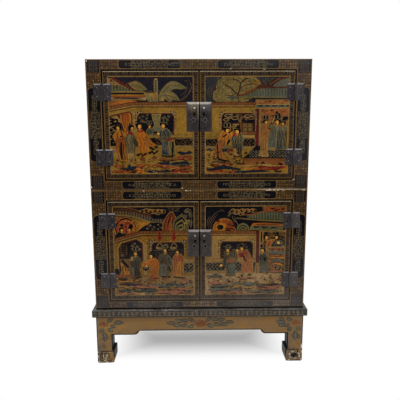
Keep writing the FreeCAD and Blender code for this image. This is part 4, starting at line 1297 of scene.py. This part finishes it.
for x0, z0, rx, rz in (
        (-174, 501, 10, 4), (-160, 504, 16, 4.6), (-142, 500, 16, 7), (-126, 500, 14, 7),
        (-112, 500, 8, 6)):
    art.blob("brick", x0, z0, rx, rz, 5, 0.2, rim="tan")
curls(art, "dark", "-150 498 -136 500 -122 498 -110 499 -164 502 -176 500", 4.6, 2.6)
curls(art, "amber", "-145 501 -129 502 -116 501", 3.4, 1.2)
art.blob("sage", -128, 494, 7, 4, rim="amber")
art.area("night", "-146 484 -130 488 -112 482", "-146 478 -130 477 -112 477")
art.area("night", "-188 440 -170 454 -146 463 -124 464 -108 448",
         "-188 438 -170 438 -146 438 -124 438 -108 438", rim="umber")
curls(art, "scroll", "-162 446 -152 456 -140 450 -128 458 -118 448 -146 442 -128 444", 3.2, 1.2)
art.flecks("fret", -160, -116, 442, 458, 16, 2.4, 3)
art.area("rust>maroon", "-114 438 -113 462 -102 484 -90 499", "-78 438 -78 462 -74 480 -82 497", rim="straw")
for path, paint, width in (
        ("-106 438 -103 464 -94 484", "rust", 6), ("-92 440 -90 462 -82 480", "crimson", 4),
        ("-98 444 -96 466 -88 486", "dark", 3), ("-84 444 -84 462 -80 476", "dark", 2.4),
        ("-109 442 -107 462 -98 482", "dark", 2.0), ("-90 448 -88 470 -84 488", "amber", 1.6)):
    art.stroke(paint, path, width)
art.blob("rust", -90, 452, 5, 12, 5, 0.2, rim="amber")
for grow, paint in (
        (1.0, "sage"), (0.88, "night"), (0.68, "olive"), (0.58, "night"), (0.4, "moss"), (0.3, "night"),
        (0.14, "olive")):
    art.area(paint, [(-60 - 22 * grow, 440), (-60 - 19 * grow, 440 + 32 * grow), (-54, 440 + 52 * grow)],
             [(-60 + 20 * grow, 440), (-58 + 18 * grow, 440 + 30 * grow), (-54, 440 + 52 * grow)],
             rim="olive")
art.blob("olive", -38, 467, 10, 4.4, 5, 0.25, 0.5, rim="tan")
for x0, z0, rx, rz in (
        (-40, 500, 8, 6), (-28, 488, 6, 8), (-44, 484, 6, 6), (-28, 462, 5, 9), (-40, 450, 5, 6)):
    art.blob("sage", x0, z0, rx, rz, 5, 0.3, rim="net")
for loop in (
        "-46 500 -38 508 -28 503 -26 494", "-44 496 -34 500 -30 492", "-26 480 -24 462 -28 446",
        "-34 476 -36 458 -34 444"):
    art.stroke("scroll", loop, 1.7)
art.flecks("fret", -100, -60, 500, 512, 24, 3, 5)
house_line(art, [(-268, 415)], (-180, -18), 439, 9)
art.flecks("amber", -170, -40, 406, 420, 14, 5, 6)
art.stroke("tan", "-254 296 -254 385 -243 403 -196 416 -174 401 -174 343 -187 329 -187 292", 3.0, sharp=True)
art.stroke("maroon", "-251 296 -251 384 -241 400 -196 412 -178 400 -178 344 -191 330 -191 292", 3.6,
           sharp=True)
art.area("dark", [(-249, 292), (-249, 384), (-240, 398), (-222, 403)],
         [(-193, 292), (-180, 346), (-180, 398), (-197, 410)], sharp=True)
art.flecks("umber", -246, -184, 350, 404, 30, 6, 7)
art.slab("black", -245, -227, 364, 392, rim="net")
for z in (371, 378, 385):
    art.stroke("net", [(-244, z), (-228, z)], 1.2, sharp=True)
art.stroke("black", "-221 402 -221 362", 4.4, 0.9)
curls(art, "scroll", "-210 392 -202 398 -194 388 -208 382 -186 380", 4.4, 1.3)
art.area("net>sand", "-250 350 -246 322 -248 296", "-218 350 -216 322 -216 294")
art.area("amber", "-250 338 -246 318 -250 298", "-224 344 -220 320 -218 298", rim="umber", folds=3,
         fold="umber")
art.area("black", "-246 348 -240 334 -224 318", "-240 350 -230 338 -220 326", rim="net")
art.blob("net", -241, 362, 5.5, 5.5, rim="umber")
art.stroke("umber", "-236 366 -232 348", 3)
art.area("sage>umber", "-207 358 -218 346 -216 322 -216 296", "-192 358 -183 346 -188 322 -184 293",
         rim="net", folds=5, fold="dark")
art.area("slate", "-214 322 -214 308 -214 296", "-206 324 -206 310 -205 294")
art.area("tan", "-214 358 -216 350 -220 344", "-206 356 -208 350 -206 344")
art.stroke("black", "-220 291 -202 287 -184 291", 5, 0.8)
head(art, -200, 367, 14, -1, "loops")
window(art, -147, -51, 350, 400)
art.stroke("scroll", "-146 377 -100 378 -52 377", 1.5)
art.slab("field", -146, -52, 352, 375)
art.fret("net", -144, -54, 354, 372, 1.0)
for px in (-124, -80):
    art.area("umber", [(px - 2, 400), (px - 8, 392), (px - 11, 384)],
             [(px + 2, 400), (px + 8, 392), (px + 11, 384)], rim="tan")
    art.blob("olive", px, 384, 10, 3, rim="tan")
    art.blob("black", px, 391, 3.4, 3.4)
    art.area("plum>crimson", [(px - 3, 438), (px - 3.5, 426), (px - 6, 418), (px - 2, 407)],
             [(px + 3, 438), (px + 3.5, 426), (px + 6, 418), (px + 2, 407)], rim="rust")
art.blob("sage", -105, 390, 7, 8, 6, 0.2, rim="scroll")
shrub(art, "net", "-157 408 -160 396 -156 384", 6)
art.slab("sand", -176, -164, 296, 396)
art.slab("sand", -60, -19, 336, 350, rim="net")
balustrade(art, -50, -20, 305, 335)
art.area("black", "-268 318 -256 318 -250 304", "-268 300 -258 298 -250 299", rim="fret")
art.area("sage>grey", "-124 364 -130 346 -124 330 -126 310 -125 291",
         "-100 366 -92 350 -92 330 -98 310 -100 291", rim="net", folds=4, fold="umber")
art.area("slate", "-125 332 -124 312 -124 293", "-106 334 -104 312 -104 292", rim="fret", folds=1,
         fold="teal")
art.area("teal", "-100 362 -90 350 -86 332", "-104 346 -96 332 -90 322", rim="scroll", folds=1, fold="dark")
art.flecks("net", -124, -100, 332, 362, 20, 4, 8)
art.stroke("dark", "-98 326 -94 314 -92 308", 5)
art.stroke("dark", "-128 290 -110 291 -92 290", 4.4, 0.8)
head(art, -108, 377, 14, -1, "cap")
art.area("rust>copper", "-74 366 -84 350 -82 322 -86 292", "-58 364 -48 348 -52 322 -50 292", rim="tan",
         folds=4, fold="brick")
art.area("amber", "-70 340 -72 316 -74 292", "-60 340 -58 316 -60 292", folds=1, fold="brick")
art.stroke("umber", "-84 291 -64 288 -44 286", 4.6, 0.8)
head(art, -70, 371, 13.5, -1, "bun")
art.area("amber>orange", "-158 348 -172 338 -182 328", "-150 340 -160 332 -170 326", rim="amber", folds=1,
         fold="rust")
art.area("orange>rust", "-158 350 -164 336 -152 318 -158 298 -162 280",
         "-138 352 -128 336 -128 316 -134 298 -130 280", rim="amber", folds=4, fold="brick")
art.area("brick", "-160 292 -162 284 -164 278", "-146 292 -140 284 -136 278")
art.blob("black", -168, 319, 12, 9, 6, 0.15, rim="tan")
curls(art, "scroll", "-172 320 -164 319", 3, 1.2)
art.blob("flesh", -167, 326, 3.4, 2.6)
head(art, -152, 358, 14, -1, "bun")
art.area("brick>rust", "-264 297 -240 300 -206 293", "-262 286 -240 290 -206 289")
terrace(art, 31, -264, -20, 230, 290, (
    ("amber", -262, -180, 277, 5), ("umber", -256, -226, 284, 5), ("indigo", -258, -176, 267, 5),
    ("slate", -176, -20, 262, 9), ("teal", -120, -40, 266, 6), ("rose", -214, -128, 258, 9),
    ("rose", -68, -32, 273, 6), ("grey", -34, -22, 275, 6), ("sand", -258, -214, 259, 7),
    ("sage", -262, -118, 246, 9), ("teal", -250, -150, 248, 4), ("rose", -138, -44, 241, 12),
    ("rose", -90, -22, 250, 7), ("grey", -46, -24, 243, 8), ("rose", -256, -190, 237, 6),
    ("tan", -206, -160, 235, 8), ("slate", -176, -144, 237, 7), ("tan", -150, -104, 252, 5),
    ("tan", -262, -22, 231, 3)))
shrub(art, "umber", "-240 284 -206 278 -190 274 -76 274 -30 276 -32 244", 5)
art.hang("lower_left_door_picture", "lower_left_door", on_front(front_face))

# ---- The lower right door's picture ----
# Clouds and rocks beside a roof; a window behind three figures, a red column, and at the right a servant and
# two figures above a painted screen.
art = picture("lower", "right")
art.slab("buff", 18, 267, 228, 306)
art.slab("sand>tan", 18, 267, 300, 438)
for loop in (
        "28 444 28 466 40 484 56 498 74 500", "34 442 32 462 42 478 58 492", "38 444 38 462 50 480",
        "24 452 24 470 32 484", "60 502 70 504 76 498"):
    art.stroke("fret", loop, 1.6)
for x0, z0, rx, rz, paint in (
        (104, 501, 9, 6, "umber"), (118, 499, 9, 6, "brick"), (133, 502, 10, 5, "brick"),
        (98, 496, 7, 4, "umber"), (148, 501, 7, 6, "sage"), (164, 501, 11, 6, "brick"),
        (129, 491, 9, 6, "olive"), (112, 493, 8, 4, "grey")):
    art.blob(paint, x0, z0, rx, rz, 5, 0.18, rim="tan")
curls(art, "dark", "102 499 116 497 130 499 146 499 160 499 170 500 128 489", 4.2, 2.5)
curls(art, "amber", "106 502 120 500 134 501 150 502 164 502 130 492", 3.4, 1.2)
for loop in (
        "100 486 104 474 116 462 120 444", "106 486 112 468 122 452", "84 484 92 490 86 496",
        "88 480 96 492"):
    art.stroke("scroll", loop, 1.5)
art.slab("brick", 195, 266, 497, 513)
art.flecks("rust", 198, 264, 499, 511, 24, 6, 2)
art.slab("umber", 192, 196, 494, 513)
art.area("moss>sage", "146 486 176 494 200 496 266 495", "150 474 176 471 200 469 266 466")
art.ribs("sage", "150 486 176 493 200 495 262 494", "152 475 176 472 200 470 262 467", 14, 4.2)
art.ribs("leaf", "154 486 180 493 204 495 266 494", "156 475 180 472 204 470 266 467", 14, 1.6)
for path, paint, width in (
        ("138 489 160 488 184 495 198 497", "brick", 5), ("112 478 140 476 190 471 266 466", "olive", 5),
        ("104 480 140 478 190 474 266 469", "umber", 1.8), ("110 473 150 470 200 466 262 462", "dark", 2)):
    art.stroke(paint, path, width, 0.7)
art.area("orange>copper", "164 462 200 463 260 459", "158 452 200 453 260 450", rim="umber")
art.stroke("umber", "166 456 200 458 256 455", 2.4)
art.area("moss", "158 452 200 452 258 449", "156 442 200 441 258 438", rim="olive")
for x0, z0 in ((164, 450), (188, 449), (218, 447)):
    art.wave("indigo", x0, x0 + 22, z0, 3.6, 0.6)
art.stroke("olive", "154 441 210 439 266 430", 3.6)
art.area("orange>brick", "40 438 46 460 64 475 84 476 100 466 112 438",
         "44 437 52 437 68 437 86 437 102 437 111 437", rim="straw")
art.flecks("maroon", 48, 104, 440, 472, 40, 5, 11)
art.area("rust", "78 474 94 468 106 454 111 438", "82 458 88 448 92 442 94 438")
art.flecks("maroon", 84, 106, 440, 468, 16, 5, 4)
art.blob("amber", 66, 449, 19, 16, 6, 0.12, rim="rust")
art.blob("umber", 62, 449, 9, 9, 5, 0.1)
art.blob("black", 68, 449, 6, 7.6, 5, 0.1)
art.flecks("dark", 80, 96, 438, 446, 10, 4, 5)
for grow, paint in (
        (1.0, "moss"), (0.82, "night"), (0.62, "moss"), (0.5, "night"), (0.3, "olive"), (0.18, "night")):
    art.area(paint, [(134 - 20 * grow, 437), (134 - 14 * grow, 437 + 18 * grow), (134, 437 + 25 * grow)],
             [(134 + 22 * grow, 437), (134 + 14 * grow, 437 + 18 * grow), (134, 437 + 25 * grow)],
             rim="olive")
house_line(art, [], (18, 176), 437.5, 9)
art.flecks("amber", 44, 174, 406, 420, 12, 5, 6)
window(art, 67, 163, 352, 401)
art.slab("umber", 68, 120, 354, 374)
art.fret("scroll", 70, 118, 356, 372, 1.3)
art.stroke("scroll", "68 377 116 378 160 376", 1.4)
art.slab("tan", 44, 172, 338, 347, rim="net")
balustrade(art, 20, 79, 309, 335)
balustrade(art, 110, 134, 306, 336)
art.slab("plum>crimson", 177, 184, 334, 438, rim="umber")
art.blob("tan", 181, 330, 6, 5, 5, 0.2, rim="umber")
art.stroke("brick", "181 326 178 310 180 296", 3)
art.area("sage>teal", "82 364 76 350 72 336 78 318", "88 366 84 350 84 336 86 320", rim="fret", folds=1,
         fold="dark")
art.area("sage>slate", "84 364 86 344 84 320 86 292", "112 368 114 346 112 320 110 292", rim="net", folds=4,
         fold="umber")
art.area("moss", "104 376 104 362 96 346", "116 374 118 352 112 334", rim="net", folds=2, fold="dark")
art.area("slate", "92 332 92 312 94 294", "110 332 110 312 110 293", folds=2, fold="teal")
art.flecks("copper", 88, 112, 332, 362, 12, 5, 3)
art.blob("flesh", 67, 326, 4.4, 4)
art.stroke("dark", "72 326 76 320 80 318", 3.4)
head(art, 88, 375, 15, -1, "cap")
head(art, 117, 375, 12, -1, "bun")
art.area("rust>copper", "124 376 118 360 122 344 130 332", "146 378 158 360 164 340 160 330", rim="tan",
         folds=3, fold="brick")
art.area("copper", "134 338 132 320 132 302", "164 344 166 322 166 303", rim="tan", folds=5,
         fold="rust")
art.area("crimson", "126 368 124 360 128 352", "138 370 136 360 136 354")
art.area("tan", "122 350 124 344 122 340", "136 352 134 344 136 340", folds=1, fold="umber")
art.area("dark", "135 358 138 346 146 337", "140 358 143 348 149 338")
head(art, 131, 380, 14.5, -1, "cap")
art.area("black", "118 386 124 394 134 396", "118 382 126 386 136 386", rim="fret")
art.area("black", "136 396 142 394 148 386", "136 388 142 386 148 382", rim="fret")
art.area("umber", "168 336 168 320 170 304", "174 334 173 320 172 304")
art.area("teal>sage", "192 366 186 352 188 336", "204 368 210 352 210 336", rim="fret", folds=3, fold="dark")
art.area("sage>slate", "188 340 190 320 188 302", "212 342 214 320 214 302", rim="net", folds=4, fold="grey")
art.blob("black", 204, 346, 6, 9, 5, 0.15, rim="fret")
art.area("sage>grey", "208 372 212 350 210 304", "218 370 218 350 216 304")
head(art, 196, 374, 14, -1, "loops")
art.stroke("black", "192 434 192 400", 4, 0.9)
art.slab("umber>net", 200, 266, 384, 434)
art.flecks("black", 201, 264, 388, 433, 44, 5, 7)
art.flecks("copper", 201, 264, 388, 433, 22, 5, 8)
art.flecks("honey", 201, 264, 388, 433, 22, 4, 9)
art.area("orange>rust", "216 408 208 398 206 386", "232 410 238 398 236 386", rim="tan", folds=2)
art.area("celadon>dark", "236 408 226 398 220 386", "254 408 264 396 264 386", rim="scroll", folds=3,
         fold="black")
head(art, 208, 416, 14, 1, "bun")
head(art, 239, 416, 13, -1, "bun")
art.stroke("black", "228 388 234 404 248 410 262 402 264 390", 3.4, 0.6)
art.blob("flesh", 245, 399, 4, 4)
curls(art, "scroll", "254 396 258 388", 4, 1.4)
art.slab("net>sand", 212, 266, 302, 386)
art.flecks("umber", 216, 264, 306, 384, 58, 4.4, 12)
for paint, height, thick in (
        ("tan", 384, 3), ("rust", 378, 4), ("slate", 367, 10), ("rust", 356, 4), ("amber", 350, 6)):
    art.wave(paint, 214, 268, height, thick, 0.6)
art.area("slate", "218 330 226 344 246 348 264 338", "222 328 232 338 246 340 264 330", rim="dark")
art.area("amber", "220 326 232 334 250 334 264 326", "224 322 234 328 250 326 264 320", rim="umber")
art.area("dark", "226 326 240 322 264 320", "230 316 242 309 264 306", rim="fret")
art.flecks("tan", 232, 264, 309, 321, 14, 3.4, 3)
art.wave("rose", 216, 266, 306, 6, 0.6)
art.area("copper", "214 344 222 330 224 314", "220 346 230 330 236 312", folds=1)
terrace(art, 41, 20, 262, 230, 300, (
    ("slate", 22, 74, 293, 8), ("rose", 122, 176, 285, 5), ("rose", 24, 86, 269, 9),
    ("slate", 34, 110, 260, 6), ("slate", 100, 190, 267, 8), ("rose", 176, 262, 256, 9),
    ("umber", 26, 90, 255, 3), ("slate", 24, 134, 247.5, 8), ("rose", 52, 144, 239, 8),
    ("slate", 146, 262, 240, 8), ("umber", 190, 262, 263, 4), ("rose", 176, 250, 249, 6),
    ("grey", 34, 60, 236, 7), ("tan", 100, 180, 255, 6), ("grey", 182, 206, 259, 7),
    ("umber", 128, 140, 296, 4), ("umber", 148, 164, 296, 4), ("tan", 20, 262, 232.4, 3)))
shrub(art, "grey", "28 284 64 284 86 278 232 270", 5)
art.hang("lower_right_door_picture", "lower_right_door", on_front(front_face))

# ---- The ironwork ----
# Hinge leaves, pins, lock plates, lugs and nails of iron, blackened and then rubbed on every raised edge,
# with a little brown rust in the low places. The bevels that look up also carry a painted highlight, and the
# locks and right-hand hinges carry painted highlights, shadows and sheen.
lug_place, eyelet_place, plate_tops = (0.014, 0.023), (0.017, 0.052), (0.442, 0.828)


def blackened(name, rub):
    """Blackened iron: grey where a bevel looks up, less where it looks aside, partly rubbed metal and partly
    a painted highlight from the lamps above; rub says how bright the bevels are."""
    iron = Finish(name, {"Metallic": 1.0})
    _, _, z = iron.axes()
    _, ny, nz = iron.axes(iron.facing)
    skin = iron.mix(iron.noise(60.0, 0.3, 0.7, 6.0), tone(32, 30, 32), tone(50, 46, 46))
    skin = iron.mix(iron.times(iron.noise(130.0, 0.5, 0.7, 6.0), 0.5), skin, tone(74, 56, 42))
    bevel_rub_and_highlight = iron.times(iron.ramp(ny, -0.985, -0.90), iron.ramp(nz, 0.1, 0.35, 0.16, 1.0), rub)
    skin = iron.mix(bevel_rub_and_highlight, skin, tone(124, 120, 117))
    scratch = iron.noise(420.0, 0.6, 0.66, 2.0, iron.stretched(1.6, 1.0, 0.25))
    skin = iron.mix(iron.times(scratch, 0.35), skin, tone(112, 106, 100))
    skin = iron.mix(iron.ramp(z, 0.5, 0.88, 0.0, 0.22), skin, tone(18, 17, 20))
    skin = iron.mix(iron.ramp(z, 0.23, 0.5, 0.3, 0.0), skin, tone(96, 89, 84))
    iron.feed("Roughness", iron.uneven(0.3, 0.5, 90.0, 0.2, 0.8, 6.0))
    iron.bump(iron.noise(320.0, 0.2, 0.8, 6.0), 0.00012, 0.6)
    return iron, skin


iron, skin = blackened("blackened_iron", 0.9)
x, _, z = iron.axes()
far_x = iron.math("ABSOLUTE", x)
bluish = iron.mix(1.0, skin, (0.95, 1.0, 1.12, 1.0), "MULTIPLY")
skin = iron.mix(iron.ramp(far_x, 0.2, 0.21), skin, bluish)
# painted sheen: the case leaves of the right-hand hinges are lighter, in streaks
right_sheen_streaks = iron.noise(35.0, 0.2, 0.6, 3.0, iron.stretched(1.0, 1.0, 0.2))
skin = iron.mix(iron.times(iron.ramp(x, 0.2835, 0.286), right_sheen_streaks, 0.17), skin, tone(112, 108, 104))
for top, wear_and_highlight, lug_highlight_grey in zip(plate_tops, (0.15, 0.45), (100, 122)):
    # lighter band at the top of each lock plate: partly rubbed by hands, partly a painted highlight from
    # above
    handled_and_lit = iron.times(iron.ramp(z, top - 0.03, top - 0.004), iron.math("COMPARE", z, top - 0.025, 0.027))
    on_plate = iron.times(handled_and_lit, iron.ramp(far_x, 0.045, 0.046, 1.0, 0.0))
    skin = iron.mix(iron.times(on_plate, wear_and_highlight), skin, tone(104, 100, 96))
    # painted light on each lock: a highlight on the lug's top, a shadow under the lug and shade in the eyelet's bore;         also a lighter rim round the eyelet
    rings = ((lug_place, -0.006, 0.0033, lug_highlight_grey), (lug_place, 0.013, 0.0042, 8),
             (eyelet_place, 0.0, 0.006, 80), (eyelet_place, 0.0, 0.004, 2))
    for (reach, drop), level, radius, grey in rings:
        flat = iron.math("POWER", iron.math("SUBTRACT", far_x, reach), 2.0)
        tall = iron.math("POWER", iron.math("SUBTRACT", z, top - drop - level), 2.0)
        away = iron.math("SQRT", iron.math("ADD", flat, tall))
        ring_share = iron.ramp(away, radius - 0.0006, radius + 0.0004, 0.94, 0.0)
        skin = iron.mix(ring_share, skin, tone(grey, grey, grey - 2))
# yellowish streaks near the top of the upper left lock plate
beside = iron.ramp(iron.math("ABSOLUTE", iron.math("ADD", x, 0.018)), 0.003, 0.015, 1.0, 0.0)
yellow_streak = iron.times(beside, iron.ramp(z, 0.79, 0.82), iron.ramp(z, 0.8235, 0.8245, 1.0, 0.0))
yellow_streak = iron.times(yellow_streak, iron.noise(150.0, 0.4, 0.6, 3.0, iron.stretched(1.0, 1.0, 0.25)), 0.3)
skin = iron.mix(yellow_streak, skin, tone(140, 120, 66))
meeting = iron.times(iron.math("COMPARE", x, -0.0022, 0.0021), iron.ramp(z, 0.77, 0.8, 0.0, 0.42))
skin = iron.mix(meeting, skin, tone(160, 148, 120))
iron.feed("Base Color", skin)
nail_iron, nail_skin = blackened("nail_iron", 0.22)
nail_skin = nail_iron.mix(0.3, nail_skin, tone(124, 108, 74))
nail_iron.feed("Base Color", nail_skin)
for case in cases:
    dress(iron, case + "_hinge_case_leaves")
    dress(nail_iron, case + "_hinge_pins", case + "_hinge_case_nails")
    for side in hands:
        dress(nail_iron, f"{case}_{side}_hinge_door_nails")
        dress(iron, *[f"{case}_{side}_{part}" for part in ("hinge_door_leaves", "lock_plate",
                                                           "lock_fittings")])
